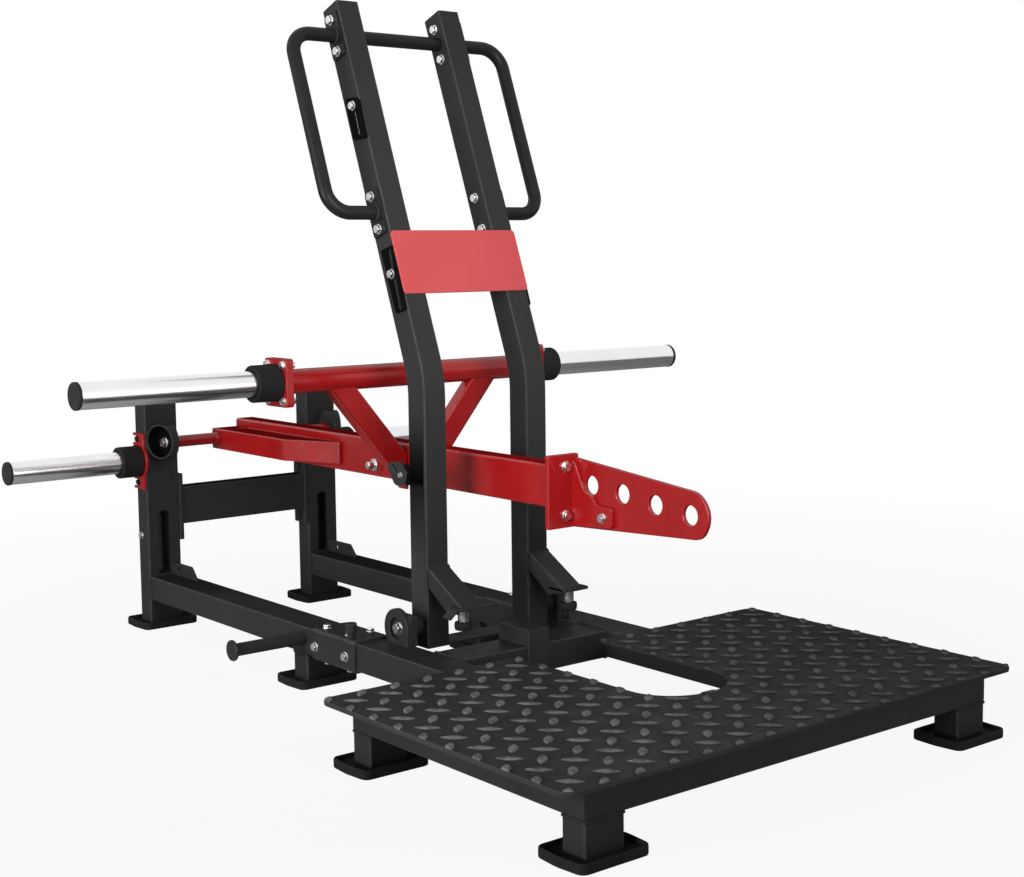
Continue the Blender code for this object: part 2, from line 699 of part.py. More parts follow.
def arm_front():
    """End plate, drilled fin and the small bracket that joins them."""
    block("arm_end_plate", END_PLATE_X, (END_PLATE_FRONT, ARM_FRONT - GAP), END_PLATE_Z, RED, edge=0.0015)
    near = END_PLATE_FRONT - GAP
    outline = rounded([
        (near, 0.349, 0.0), (near, 0.478, 0.006), (0.271, 0.447, 0.040), (0.238, 0.412, 0.040),
        (0.262, 0.366, 0.030),
    ], steps=5)
    fin = prism("arm_fin", outline, "x", FIN_X, FIN_X + FIN_THICK, RED, edge=0.001)
    for i, (y, z) in enumerate(FIN_HOLES):
        hole = rod(f"fin_hole_{i + 1}", (FIN_X - 0.01, y, z), (FIN_X + 0.02, y, z), FIN_HOLE, RED,
                   steps=20)
        combine(fin, hole, "DIFFERENCE")
    bracket = rounded([
        (near, 0.351, 0.0), (near, 0.474, 0.004), (0.580, 0.470, 0.006), (0.554, 0.418, 0.015),
        (0.532, 0.412, 0.012), (0.520, 0.397, 0.010), (0.480, 0.396, 0.006), (0.480, 0.360, 0.006),
    ], steps=3)
    prism("fin_bracket", bracket, "x", FIN_X - GAP - FIN_THICK, FIN_X - GAP, RED)
    pin_profile = [(-ARM_HALF - GAP, 0.0110), (-0.040, 0.0110), (-0.040, 0.0080), (-0.055, 0.0080)]
    turned("arm_latch_pin", pin_profile, *LATCH_PIN, RED, steps=16)


# Tilting handle frame

def post_outline():
    """Side view of a bent post: upright below, leaning back above."""
    half = POST_DEEP / 2
    reach = BEND_RADIUS * math.tan(LEAN / 2)
    along_top = (POST_TOP_Z - BEND_Z) / math.cos(LEAN)
    centre_y = POST_Y + BEND_RADIUS
    low_z = BEND_Z - reach
    turns = [LEAN * i / 5 for i in range(6)]
    front = [(centre_y - (BEND_RADIUS + half) * math.cos(t), low_z + (BEND_RADIUS + half) * math.sin(t))
             for t in turns]
    back = [(centre_y - (BEND_RADIUS - half) * math.cos(t), low_z + (BEND_RADIUS - half) * math.sin(t))
            for t in reversed(turns)]
    return ([(POST_Y - half, POST_LOW)] + front + [lean_point(along_top, half), lean_point(along_top, -half)]
            + back + [(POST_Y + half, POST_LOW)])


def hook_outline(low_z, high_z, front_low, front_high, back_low, back_high):
    """Side view of a hook plate that follows the post's lean."""
    return rounded([
        (front_low, low_z, 0.010), (front_high, high_z, 0.010), (back_high, high_z, 0.010),
        (back_low, low_z - 0.006, 0.010),
    ])


LOWER_HOOK = ("lower", (0.745, 0.862, 0.862, 0.908, 0.896, 0.945))
UPPER_HOOK = ("upper", (1.076, 1.151, 0.982, 1.010, 1.027, 1.053))


def posts():
    """Bent posts on hinge blocks beside the rails; the left one also carries the upper hook and the latch."""
    for side_name, side in SIDES:
        post = prism(f"post_{side_name}", post_outline(), "x", *span(side, POST_IN, POST_OUT), BLACK,
                     edge=0.003)
        hooks = (LOWER_HOOK, UPPER_HOOK) if side_name == "left" else (LOWER_HOOK,)
        for level, corners in hooks:
            hook = prism(f"{level}_hook_{side_name}", hook_outline(*corners), "x",
                         *span(side, POST_OUT - 0.004, POST_OUT + 0.006), BLACK)
            combine(post, hook, "UNION")
        if side_name == "left":
            add_latch(post, side)
        bore = rod(f"post_bore_{side_name}", (side * (POST_IN - 0.01), HINGE_Y, HINGE_Z),
                   (side * (POST_OUT + 0.01), HINGE_Y, HINGE_Z), BORE, BLACK, steps=16)
        combine(post, bore, "DIFFERENCE")
        hinge_block(side_name, side)
    half = POST_DEEP / 2
    block("post_tie_plate", (-POST_OUT, POST_OUT), (POST_Y - half, POST_Y + half),
          (TIE_PLATE_LOW, POST_LOW - GAP), BLACK, edge=0.001)


def add_latch(post, side):
    """Latch plate behind the post and the notch beside it."""
    outline = rounded([
        (0.856, 0.415, 0.0), (0.856, 0.448, 0.0), (0.904, 0.456, 0.006), (0.948, 0.448, 0.006),
        (0.914, 0.407, 0.006), (0.885, 0.415, 0.006),
    ], steps=2)
    plate = prism("latch_plate", outline, "x", *span(side, POST_OUT - 0.010, POST_OUT - 0.002), BLACK)
    combine(post, plate, "UNION")
    notch = block("post_notch", span(side, POST_OUT - 0.003, POST_OUT + 0.003), (0.800, 0.862), (0.417, 0.428),
                  BLACK, edge=0)
    combine(post, notch, "DIFFERENCE")


def hinge_block(side_name, side):
    """Block on the rail with a round outer face, and the hinge pin that the post turns on."""
    base = HIGH + GAP
    outline = [(BLOCK_FRONT, base), (BLOCK_FRONT, HINGE_Z)]
    outline += arc((HINGE_Y, HINGE_Z), BLOCK_RADIUS, 170, -35, 12)
    outline += [(BLOCK_BACK, base)]
    disc = BLOCK_OUT - BLOCK_DISC
    thing = prism(f"hinge_block_{side_name}", outline, "x", *span(side, disc, BLOCK_OUT), BLACK)
    body = block(f"block_body_{side_name}", span(side, BLOCK_IN, disc + 0.002), (BLOCK_FRONT, BLOCK_BACK),
                 (base, BLOCK_TOP), BLACK, edge=0)
    combine(thing, body, "UNION")
    pin_profile = [(POST_IN, PIN), (POST_OUT + 0.001, PIN), (POST_OUT + 0.001, PIN_BOSS),
                   (BLOCK_IN + 0.004, PIN_BOSS)]
    pin = turned(f"hinge_pin_{side_name}", [(side * x, r) for x, r in pin_profile], HINGE_Y, HINGE_Z,
                 BLACK, steps=16)
    combine(thing, pin, "UNION")
    recess = rod(f"block_recess_{side_name}", (side * (BLOCK_OUT - BLOCK_RECESS_DEEP), HINGE_Y, HINGE_Z),
                 (side * (BLOCK_OUT + 0.010), HINGE_Y, HINGE_Z), BLOCK_RECESS, BLACK, steps=20)
    combine(thing, recess, "DIFFERENCE")


def braces():
    """Struts from the posts down to foot plates that carry rubber bumpers over the crossmember."""
    front = POST_Y - POST_DEEP / 2 - GAP
    edge = POST_OUT - 0.001
    for side_name, side in SIDES:
        outline = [(front, 0.2640), (front, 0.2250), (0.7505, 0.1852), (0.7050, 0.1960), (0.7005, 0.2011)]
        brace = prism(f"brace_{side_name}", outline, "x", *span(side, POST_IN, POST_OUT), BLACK, edge=0.002)
        inner = BRACE_PLATE_IN[side_name]
        plan = [(inner, 0.698), (0.158, 0.698), (0.158, 0.722), (edge, 0.735), (edge, 0.752), (inner, 0.752)]
        plate = prism(f"brace_plate_{side_name}", [(side * x, y) for x, y in plan], "z", PLATE_LOW,
                      PLATE_LOW + 0.006, BLACK)
        combine(brace, plate, "UNION")
        stud = prism(f"bumper_stud_{side_name}", arc((side * BUMPER_X, BUMPER_Y), STUD_RADIUS, 0, 300, 5), "z",
                     BUMPER_TOP + GAP, PLATE_LOW + 0.003, BLACK)
        combine(brace, stud, "UNION")
        rod(f"bumper_{side_name}", (side * BUMPER_X, BUMPER_Y, BUMPER_LOW),
            (side * BUMPER_X, BUMPER_Y, BUMPER_TOP), BUMPER_RADIUS, RUBBER, steps=20)


def loop_path(top_y, low_y):
    """Path of a right-hand loop: out from the post, down along the lean and back in."""
    start = POST_OUT + 0.002
    turn_x = LOOP_OUT - LOOP_BEND
    path = [(start, top_y, LOOP_TOP_Z)]
    for k in range(7):
        t = math.pi / 2 * k / 6
        drop = LOOP_BEND * (1 - math.cos(t))
        path.append((turn_x + LOOP_BEND * math.sin(t), *down_the_lean(top_y, LOOP_TOP_Z, drop)))
    for k in range(7):
        t = math.pi / 2 * k / 6
        rise = LOOP_BEND * (1 - math.sin(t))
        path.append((turn_x + LOOP_BEND * math.cos(t), *down_the_lean(low_y, LOOP_LOW_Z, -rise)))
    return path + [(start, low_y, LOOP_LOW_Z)]


def handles():
    """Loop handles on flange plates outside the posts, the tie bar between them and the front panel."""
    top_y, low_y = lean_y(LOOP_TOP_Z), lean_y(LOOP_LOW_Z)
    for side_name, side in SIDES:
        path = [(side * x, y, z) for x, y, z in loop_path(top_y, low_y)]
        loop = swept(f"handle_loop_{side_name}", path, LOOP_RADIUS, BLACK, steps=16)
        for level, z in (("top", LOOP_TOP_Z), ("low", LOOP_LOW_Z)):
            along = (z - BEND_Z) / math.cos(LEAN)
            corners = [lean_point(along + a, b) for a, b in
                       ((-0.046, -0.022), (-0.046, 0.022), (0.046, 0.022), (0.046, -0.022))]
            plate = prism(f"{level}_handle_plate_{side_name}", rounded([(*c, 0.006) for c in corners], steps=2),
                          "x", *span(side, POST_OUT + GAP, POST_OUT + GAP + LOOP_PLATE), BLACK)
            combine(loop, plate, "UNION")
    inner = POST_IN - GAP
    rod("handle_tie_bar", (-inner, top_y, LOOP_TOP_Z), (inner, top_y, LOOP_TOP_Z), LOOP_RADIUS, BLACK,
        steps=20)
    near = POST_DEEP / 2 + GAP
    far = near + PANEL_THICK
    low_along, high_along = 0.159, 0.286
    side_view = [lean_point(low_along, near), lean_point(low_along, far), lean_point(high_along, far),
                 lean_point(high_along, near)]
    prism("front_panel", side_view, "x", -PANEL_HALF, PANEL_HALF, RED)


def down_the_lean(y, z, drop):
    """Move a point that far down along the lean of the posts."""
    return y - drop * math.sin(LEAN), z - drop * math.cos(LEAN)


# Moving groups

ARM_PARTS = ("arm_", "fork_", "cross_tube", "horn_flange", "loading_horn", "fin_bracket")
HANDLE_PARTS = ("post_", "brace_", "bumper_", "handle_loop", "handle_tie_bar", "front_panel")
FIXED_PARTS = ("arm_stop",)


def hang_on(empty_name, y, z, prefixes):
    """Parent a moving group's pieces to an empty on its hinge line, without moving them."""
    pivot = bpy.data.objects.new(empty_name, None)
    pivot.location = (0.0, y - MIDDLE_Y, z)
    bpy.context.scene.collection.objects.link(pivot)
    bpy.context.view_layer.update()
    for thing in bpy.data.objects:
        if thing.type == "MESH" and thing.name.startswith(prefixes) and thing.name not in FIXED_PARTS:
            thing.parent = pivot
            thing.matrix_parent_inverse = pivot.matrix_world.inverted()


def main():
    clear_scene()
    feet()
    platform()
    rails()
    uprights()
    bearings()
    storage_horns()
    arm_frame()
    arm_horns()
    arm_front()
    posts()
    braces()
    handles()
    hang_on("arm_pivot", PIVOT_Y, PIVOT_Z, ARM_PARTS)
    hang_on("handle_frame_pivot", HINGE_Y, HINGE_Z, HANDLE_PARTS)


main()
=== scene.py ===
# %% [markdown]
# A squat machine, dressed for its picture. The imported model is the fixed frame: it says where every
# tube, plate and sleeve is and how the arm and the handle frame move. This lesson gives each of them the
# rounded edges, bolts, welds and finishes of the real machine. We start by loading the frame.

# %% Load the fixed frame
import math

import bmesh
import bpy
import numpy as np
from mathutils import Matrix, Vector
from mathutils.geometry import tessellate_polygon


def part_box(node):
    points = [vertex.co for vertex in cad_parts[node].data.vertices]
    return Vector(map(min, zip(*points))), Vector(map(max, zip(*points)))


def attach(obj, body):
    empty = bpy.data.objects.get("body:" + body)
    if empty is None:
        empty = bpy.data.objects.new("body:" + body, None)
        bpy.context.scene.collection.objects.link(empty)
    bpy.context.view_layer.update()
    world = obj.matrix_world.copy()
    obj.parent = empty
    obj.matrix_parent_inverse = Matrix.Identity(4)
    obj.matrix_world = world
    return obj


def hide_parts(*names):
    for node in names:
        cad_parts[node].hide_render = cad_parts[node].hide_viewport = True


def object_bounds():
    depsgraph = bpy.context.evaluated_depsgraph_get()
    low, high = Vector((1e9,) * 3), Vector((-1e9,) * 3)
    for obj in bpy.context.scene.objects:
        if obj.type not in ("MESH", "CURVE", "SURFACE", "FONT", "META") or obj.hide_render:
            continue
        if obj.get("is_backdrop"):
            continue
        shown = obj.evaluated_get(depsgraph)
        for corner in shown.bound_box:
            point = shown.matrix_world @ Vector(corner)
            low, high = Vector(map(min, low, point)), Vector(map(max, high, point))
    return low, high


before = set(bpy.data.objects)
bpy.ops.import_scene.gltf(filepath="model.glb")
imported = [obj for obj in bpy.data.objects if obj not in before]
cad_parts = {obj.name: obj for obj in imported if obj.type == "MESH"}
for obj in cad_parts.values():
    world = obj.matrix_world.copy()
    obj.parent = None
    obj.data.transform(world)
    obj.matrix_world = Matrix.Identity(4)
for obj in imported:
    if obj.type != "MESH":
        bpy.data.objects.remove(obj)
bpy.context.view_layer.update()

# %% [markdown]
# Lengths along the machine are easiest to measure back from the front edge of the platform's frame, as a
# fitter with a tape would. One number turns such a length into the model's own Y.

# %% Where the tape starts
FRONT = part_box("platform_front_tube")[0].y
SIDES = (("left", -1), ("right", 1))
BASE, ARM, HANDLES = "base_frame", "lever_arm", "handle_frame"
print("front edge at y =", round(FRONT, 4))

# %% [markdown]
# A finished piece is a mesh at the origin. Its points are worked out as arrays and written with foreach_set,
# which is far quicker than adding points one at a time. Each shape is a small bundle of arrays: points,
# four-sided faces, three-sided faces, and how much each point sits on a rounded edge, which the finishes
# use to place wear.


# %% Arrays into a mesh
SHARP = 38
WELD = 1e-6
made = []


def merge(*shapes):
    """Put several shapes into one by counting each shape's points on from the last one's."""
    points, quads, tris, edges, start = [], [], [], [], 0
    for p, q, t, e in shapes:
        points.append(p)
        quads.append(q + start)
        tris.append(t + start)
        edges.append(e)
        start += len(p)
    return tuple(np.concatenate(part) for part in (points, quads, tris, edges))


def write_mesh(name, shape):
    """Write a shape's arrays into a new mesh, with the rounded edges kept as an attribute."""
    points, quads, tris, edges = shape
    if not np.isfinite(points).all():
        raise ValueError(f"{name} has points that are not finite")
    mesh = bpy.data.meshes.new(name)
    corners = np.concatenate((quads.ravel(), tris.ravel())).astype(np.int32)
    sizes = np.concatenate((np.full(len(quads), 4), np.full(len(tris), 3)))
    mesh.vertices.add(len(points))
    mesh.vertices.foreach_set("co", points.astype(np.float32).ravel())
    mesh.loops.add(len(corners))
    mesh.loops.foreach_set("vertex_index", corners)
    mesh.polygons.add(len(sizes))
    mesh.polygons.foreach_set("loop_start", (np.cumsum(sizes) - sizes).astype(np.int32))
    mesh.update(calc_edges=True)
    worn = mesh.attributes.new("edge", "FLOAT", "POINT")
    worn.data.foreach_set("value", edges.astype(np.float32))
    return mesh


def face_out(mesh, weld=0.0):
    """Join points closer than weld, and turn every face outwards."""
    work = bmesh.new()
    work.from_mesh(mesh)
    if weld:
        bmesh.ops.remove_doubles(work, verts=work.verts, dist=weld)
    bmesh.ops.recalc_face_normals(work, faces=work.faces)
    work.to_mesh(mesh)
    work.free()


def smooth(mesh, sharp=SHARP):
    """Shade smoothly, but not over edges that turn by more than an angle in degrees."""
    mesh.shade_smooth()
    mesh.set_sharp_from_angle(angle=math.radians(sharp))


def new_object(name, data):
    """Make an object for some data and put it in the scene."""
    thing = bpy.data.objects.new(name, data)
    bpy.context.scene.collection.objects.link(thing)
    return thing


def add_piece(name, shape, body, look, nodes=(), sharp=SHARP):
    """Turn a shape into a finished piece that rides on a body and stands for its CAD nodes."""
    mesh = write_mesh(name, (shape[0] + np.array((0.0, FRONT, 0.0)), *shape[1:]))
    face_out(mesh, WELD)
    smooth(mesh, sharp)
    mesh.materials.append(look[0])
    piece = new_object(name, mesh)
    made.append(name)
    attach(piece, body)
    if nodes:
        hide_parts(*nodes)
    return piece


def tell(step):
    """Print how many pieces a step made, and start the count again."""
    print(f"{step}: {len(made)} pieces")
    made.clear()


print("mesh helpers ready")

# %% [markdown]
# Rolled tube has round corners, and a cut plate has its edges broken. Both come from one formula: each
# corner of an outline is swapped for an arc that touches its two sides. A Bevel modifier could round the
# edges too, but here each corner can have its own radius, and its wear comes with it. Two guard points beside
# every arc keep the smooth shading of the arc from spilling over the flat side.


# %% Outlines with round corners
def wear(steps):
    """How worn each point of a rounding is: most at its middle, nothing at the guard points beside it."""
    return np.concatenate(([0], np.sin(np.linspace(0, np.pi, steps + 1)) ** 0.5, [0]))


def rounded(corners, steps=5, guard=0.0006, closed=True):
    """Swap each corner (a, b, radius) for an arc.

    The arc's centre lies on the line that halves the corner, at radius / sin(half the corner's angle),
    and each arc point is the first touching point turned about that centre.
    """
    corners = np.array(corners, float)
    here = corners[:, :2]
    back = np.roll(here, 1, 0) - here
    ahead = np.roll(here, -1, 0) - here
    back /= np.linalg.norm(back, axis=1, keepdims=True)
    ahead /= np.linalg.norm(ahead, axis=1, keepdims=True)
    half = np.arccos(np.clip((back * ahead).sum(1), -1, 1)) / 2
    radius = np.maximum(corners[:, 2], 1e-5)
    reach = (radius / np.tan(half))[:, None]
    middle = back + ahead
    middle /= np.maximum(np.linalg.norm(middle, axis=1, keepdims=True), 1e-9)
    centre = here + middle * (radius / np.sin(half))[:, None]
    first = here + back * reach - centre
    last = here + ahead * reach - centre
    turn = np.arctan2(first[:, 0] * last[:, 1] - first[:, 1] * last[:, 0], (first * last).sum(1))
    angle = turn[:, None] * np.linspace(0, 1, steps + 1)
    c, s = np.cos(angle), np.sin(angle)
    arcs = np.stack((first[:, :1] * c - first[:, 1:] * s, first[:, :1] * s + first[:, 1:] * c), -1)
    arcs += centre[:, None]
    before = (here + back * (reach + guard))[:, None]
    after = (here + ahead * (reach + guard))[:, None]
    outline = np.concatenate((before, arcs, after), 1)
    worn = np.tile(wear(steps), len(corners))
    if closed:
        return outline.reshape(-1, 2), worn
    inner = outline[1:-1].reshape(-1, 2)
    worn = worn[: len(inner)]
    return np.concatenate((here[:1], inner, here[-1:])), np.concatenate(([0], worn, [0]))


def inset(loop, distance):
    """Move a closed outline's points to its left by a distance, along the sum of the two sides' normals."""
    ahead = np.roll(loop, -1, 0) - loop
    ahead /= np.maximum(np.linalg.norm(ahead, axis=1, keepdims=True), 1e-12)
    normal = np.column_stack((-ahead[:, 1], ahead[:, 0]))
    before = np.roll(normal, 1, 0)
    return loop + distance * (normal + before) / (1 + (normal * before).sum(1, keepdims=True))


def turn_left(loop, left=True):
    """Order an outline's points so that its inside is on the left (or on the right for a hole)."""
    a, b = loop[:, 0], loop[:, 1]
    area = (a * np.roll(b, -1) - np.roll(a, -1) * b).sum()
    return loop if (area > 0) == left else loop[::-1]


print("outlines ready")

# %% [markdown]
# The three basic forms. A skin joins a row of rings, a turned part spins a profile about a line, and a
# plate carries an outline through a thickness with its edges rounded over. Nearly everything on the
# machine is one of these, as it is in the workshop: tube, lathe work and laser-cut plate.


# %% Skin, plate and lathe
def side_faces(rows, cols):
    """Four-sided faces between each ring of points and the next, going all the way round."""
    i = np.arange(rows - 1)[:, None] * cols
    j = np.arange(cols)[None, :]
    k = (j + 1) % cols
    return np.stack((i + j, i + k, i + cols + k, i + cols + j), -1).reshape(-1, 4)


def skin(rings, worn_round, worn_along):
    """Join rings of points by four-sided faces and close both ends with a fan of triangles."""
    rows, cols = rings.shape[:2]
    points = np.concatenate((rings.reshape(-1, 3), rings[:1].mean(1), rings[-1:].mean(1)))
    first, last, end = rows * cols, rows * cols + 1, (rows - 1) * cols
    j = np.arange(cols)
    k = (j + 1) % cols
    fans = np.concatenate((
        np.column_stack((np.full(cols, first), k, j)),
        np.column_stack((np.full(cols, last), end + j, end + k)),
    ))
    edges = np.maximum(worn_round[None, :], worn_along[:, None]).ravel()
    return points, side_faces(rows, cols), fans, np.concatenate((edges, [0, 0]))


AXES = {"x": (2, 0, 1), "y": (0, 2, 1), "z": (0, 1, 2)}


def stand(flat, level, axis):
    """Place flat (a, b) points at a level along an axis; a and b keep the order of the other two axes."""
    stacked = np.concatenate((flat, np.broadcast_to(np.asarray(level, float), (*flat.shape[:-1], 1))), -1)
    return stacked[..., list(AXES[axis])]


def edge_walk(low, high, edge, steps=3, guard=0.0003):
    """Insets and levels that walk up a plate's side: over the lower edge, straight up, over the upper edge.

    At angle t on the rounding the inset is edge * (1 - sin t) and the rise is edge * (1 - cos t).
    """
    t = np.linspace(0, np.pi / 2, steps + 1)
    turn_in = np.concatenate(([edge + guard], edge * (1 - np.sin(t)), [0]))
    rise = np.concatenate(([0], edge * (1 - np.cos(t)), [edge + guard]))
    worn = wear(steps)
    return (np.concatenate((turn_in, turn_in[::-1])), np.concatenate((low + rise, (high - rise)[::-1])),
            np.concatenate((worn, worn[::-1])))


def plate(outline, axis, low, high, edge=0.001, holes=(), steps=3):
    """Carry an outline and its holes through a thickness; the two flats are filled by triangles."""
    low, high = min(low, high), max(low, high)
    loops = [turn_left(np.asarray(outline, float))]
    loops += [turn_left(np.asarray(hole, float), False) for hole in holes]
    insets, levels, worn = edge_walk(low, high, edge, steps)
    parts, ends, start = [], [], 0
    for loop in loops:
        rows, cols = len(insets), len(loop)
        flat = np.stack([inset(loop, d) for d in insets])
        rings = stand(flat, levels[:, None, None], axis)
        sides = side_faces(rows, cols)
        parts.append((rings.reshape(-1, 3), sides, np.zeros((0, 3), int), np.repeat(worn, cols)))
        ends.append((start, start + (rows - 1) * cols, cols, flat[0]))
        start += rows * cols
    fill = np.array(tessellate_polygon([[Vector((*p, 0)) for p in end[3]] for end in ends]))
    for which in (0, 1):
        index = np.concatenate([end[which] + np.arange(end[2]) for end in ends])
        parts.append((np.zeros((0, 3)), np.zeros((0, 4), int), index[fill] - start, np.zeros(0)))
    return merge(*parts)


def arc(centre, radius, first, last, steps):
    """Part of a ring: centre plus radius times (cos t, sin t), for t from first to last in degrees."""
    t = np.radians(np.linspace(first, last, steps))
    return np.asarray(centre) + radius * np.column_stack((np.cos(t), np.sin(t)))


def circle(centre, radius, steps, start=0.0):
    """A whole ring, without the last point, which lies on the first."""
    return arc(centre, radius, start, start + 360, steps + 1)[:-1]


CORE = 0.0010


def lathe(profile, centre, axis, steps=48):
    """Spin a profile of (along, radius, rounding) about a line through centre along an axis.

    Both ends of the profile are brought in to a core of 1 mm radius, which a fan of triangles closes.
    """
    profile = [(profile[0][0], CORE, 0), *profile, (profile[-1][0], CORE, 0)]
    outline, worn = rounded(profile, steps=4, guard=0.0004, closed=False)
    t = np.arange(steps) * 2 * np.pi / steps
    round_ = np.column_stack((np.cos(t), np.sin(t)))
    flat = outline[:, 1, None, None] * round_[None]
    rings = stand(flat, outline[:, 0, None, None], axis) + np.asarray(centre, float)
    return skin(rings, np.zeros(steps), worn)


print("forms ready: skin, plate, lathe")

# %% [markdown]
# Square tube is a rounded rectangle pushed along one axis. At an open end a real tube shows a thin plastic
# cap or a weld, so both ends are closed and lightly rounded over. A mitred end slides each point along the
# tube by its distance across it.


# %% Straight and bent tube
def section(width, height, radius, steps=5):
    """A rounded rectangle about the middle, as an outline and its worn corners."""
    a, b = width / 2, height / 2
    return rounded([(-a, -b, radius), (a, -b, radius), (a, b, radius), (-a, b, radius)], steps)


def box_tube(low, high, axis, corner=0.003, edge=0.0010, slants=(0.0, 0.0)):
    """Push a rounded rectangle from one end of a box to the other.

    A slant moves each point of that end along the tube by slant times its distance across from the
    box's low side.
    """
    low, high = np.asarray(low, float), np.asarray(high, float)
    along = "xyz".index(axis)
    across = [i for i in range(3) if i != along]
    size = (high - low)[across]
    middle = (low + high)[across] / 2
    outline, worn = section(*size, corner)
    insets, levels, ends = edge_walk(low[along], high[along], edge)
    flat = np.stack([middle + outline * (1 - 2 * d / size) for d in insets])
    slide = flat[..., :1] - low[across][0]
    half = len(levels) // 2
    shift = np.where(np.arange(len(levels))[:, None, None] < half, slants[0], slants[1]) * slide
    return skin(stand(flat, levels[:, None, None] + shift, axis), worn, ends)


def node_tube(node, axis, corner=0.003, edge=0.0010):
    """A box tube in the space of one CAD node."""
    low, high = (np.array(v) - (0, FRONT, 0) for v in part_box(node))
    return box_tube(low, high, axis, corner, edge)


def carry(path, outline, worn, up, edge=0.0):
    """Carry an outline along a path in one plane.

    At each path point the outline stands square to the path: its first coordinate runs along the
    plane's normal up, its second along the cross product of the path's direction and up.
    """
    path = np.asarray(path, float)
    step = np.gradient(path, axis=0)
    step /= np.linalg.norm(step, axis=1, keepdims=True)
    up = np.asarray(up, float)
    side = np.cross(step, up)
    size = np.ones(len(path))
    ends = np.zeros(len(path))
    if edge:
        t = np.linspace(0, np.pi / 2, 4)
        width = np.ptp(outline, axis=0).min()
        grow = 1 - 2 * edge * (1 - np.sin(t)) / width
        rise = edge * (1 - np.cos(t))
        first, last = path[0] + step[:1] * rise[:, None], path[-1] - step[-1:] * rise[::-1, None]
        path = np.concatenate((first, path[1:-1], last))
        side = np.concatenate((side[:1].repeat(4, 0), side[1:-1], side[-1:].repeat(4, 0)))
        size = np.concatenate((grow, size[1:-1], grow[::-1]))
        ends = np.concatenate((np.sin(2 * t), ends[1:-1], np.sin(2 * t)))
    flat = outline[None] * size[:, None, None]
    rings = path[:, None] + flat[..., :1] * up + flat[..., 1:] * side[:, None]
    return skin(rings, worn, ends)


print("tube ready")

# %% [markdown]
# Bolts are on show all over this machine. A hexagon head is a lathe part whose radius follows the flats:
# at angle t it is half the width over cos of the angle from the nearest flat's middle. A cone takes the
# corners off the top. Each has a washer, and heads are given small turns of their own, as a spanner leaves.


# %% Bolts
ROUND, WASHER = 36, 0.0015


def hexagon_bolt(width, turn):
    """One bolt head and its washer, standing on the plane z = 0."""
    t = np.arange(ROUND) * 2 * np.pi / ROUND
    flats = width / 2 / np.cos((t + turn) % (np.pi / 3) - np.pi / 6)
    disc, tall = width * 0.66, width * 0.40
    washer = [(disc, 0.0), (disc, 0.0012), (disc - 0.0003, WASHER)]
    head = [(width, 0), (width, 0.80), (width * 0.545, 0.88), (width * 0.49, 1), (width * 0.47, 1)]
    rings = [np.full(ROUND, r) for r, _ in washer] + [np.minimum(flats, r) for r, _ in head]
    levels = [z for _, z in washer] + [WASHER + tall * share for _, share in head]
    points = np.stack([np.column_stack((r * np.cos(t), r * np.sin(t), np.full(ROUND, z)))
                       for r, z in zip(rings, levels)])
    return skin(points, np.zeros(ROUND), np.zeros(len(levels)))


def bolts(places, axis, sign, width):
    """Bolt heads at several places, standing out along an axis in the direction of sign."""
    shapes = []
    for number, place in enumerate(places):
        points, *faces = hexagon_bolt(width, number * 0.37 + 0.2)
        shapes.append((stand(points[:, :2], points[:, 2:] * sign, axis) + np.asarray(place), *faces))
    return merge(*shapes)


# %% [markdown]
# Where two tubes meet there is a weld. It is a bead with fine ripples: a thin round bar along the seam
# whose radius rises and falls a little every four millimetres.


# %% Weld beads
def bead(path, up, radius=0.0028, closed=False):
    """A rippled bead along a path: radius times (1 + 0.16 sin(2 pi s / 4 mm)) at distance s."""
    path = np.asarray(path, float)
    if closed:
        path = np.concatenate((path, path[:1]))
    gone = np.concatenate(([0], np.cumsum(np.linalg.norm(np.diff(path, axis=0), axis=1))))
    s = np.linspace(0, gone[-1], max(8, int(gone[-1] / 0.0013)))
    path = np.column_stack([np.interp(s, gone, path[:, i]) for i in range(3)])
    step = np.gradient(path, axis=0)
    step /= np.linalg.norm(step, axis=1, keepdims=True)
    up = np.asarray(up, float)
    side = np.cross(step, up)
    size = radius * (1 + 0.16 * np.sin(2 * np.pi * s / 0.004))
    t = np.arange(8) * np.pi / 4
    rings = (path[:, None] + size[:, None, None] * (np.cos(t)[None, :, None] * up
             + np.sin(t)[None, :, None] * side[:, None]))
    return skin(rings, np.zeros(8), np.zeros(len(path)))


def seam(a, b, axis, level):
    """A bead round a box-shaped joint, from its two corners in the plane across an axis."""
    outline, _ = rounded([(a[0], a[1], 0.005), (b[0], a[1], 0.005), (b[0], b[1], 0.005), (a[0], b[1], 0.005)])
    up = np.zeros(3)
    up["xyz".index(axis)] = 1
    return bead(stand(outline, level, axis), up, closed=True)


print("bolts and welds ready")

# %% [markdown]
# Finishes come next. Each is a node material that reads Object coordinates, so it stays put on its piece.
# Powder coat is never quite even: it has a fine orange peel, its gloss drifts, dust sits on it, and round
# corners rub through to a paler tone first, a tone that also serves as a painted highlight along the edges.
# The edge attribute says where those corners are.


# %% Shader helpers
def new_finish(name, colour, metallic, rough, shine=0.5):
    """A Principled material with its plain values set."""
    material = bpy.data.materials.new(name)
    material.use_nodes = True
    shader = material.node_tree.nodes["Principled BSDF"]
    shader.inputs["Base Color"].default_value = (*colour, 1)
    shader.inputs["Metallic"].default_value = metallic
    shader.inputs["Roughness"].default_value = rough
    shader.inputs["Specular IOR Level"].default_value = shine
    return material, shader


def add(material, kind, **values):
    """Add a node; names with a capital are its sockets, the others its settings."""
    node = material.node_tree.nodes.new("ShaderNode" + kind)
    for key, value in values.items():
        if key[0].isupper():
            node.inputs[key.replace("_", " ")].default_value = value
        else:
            setattr(node, key, value)
    return node


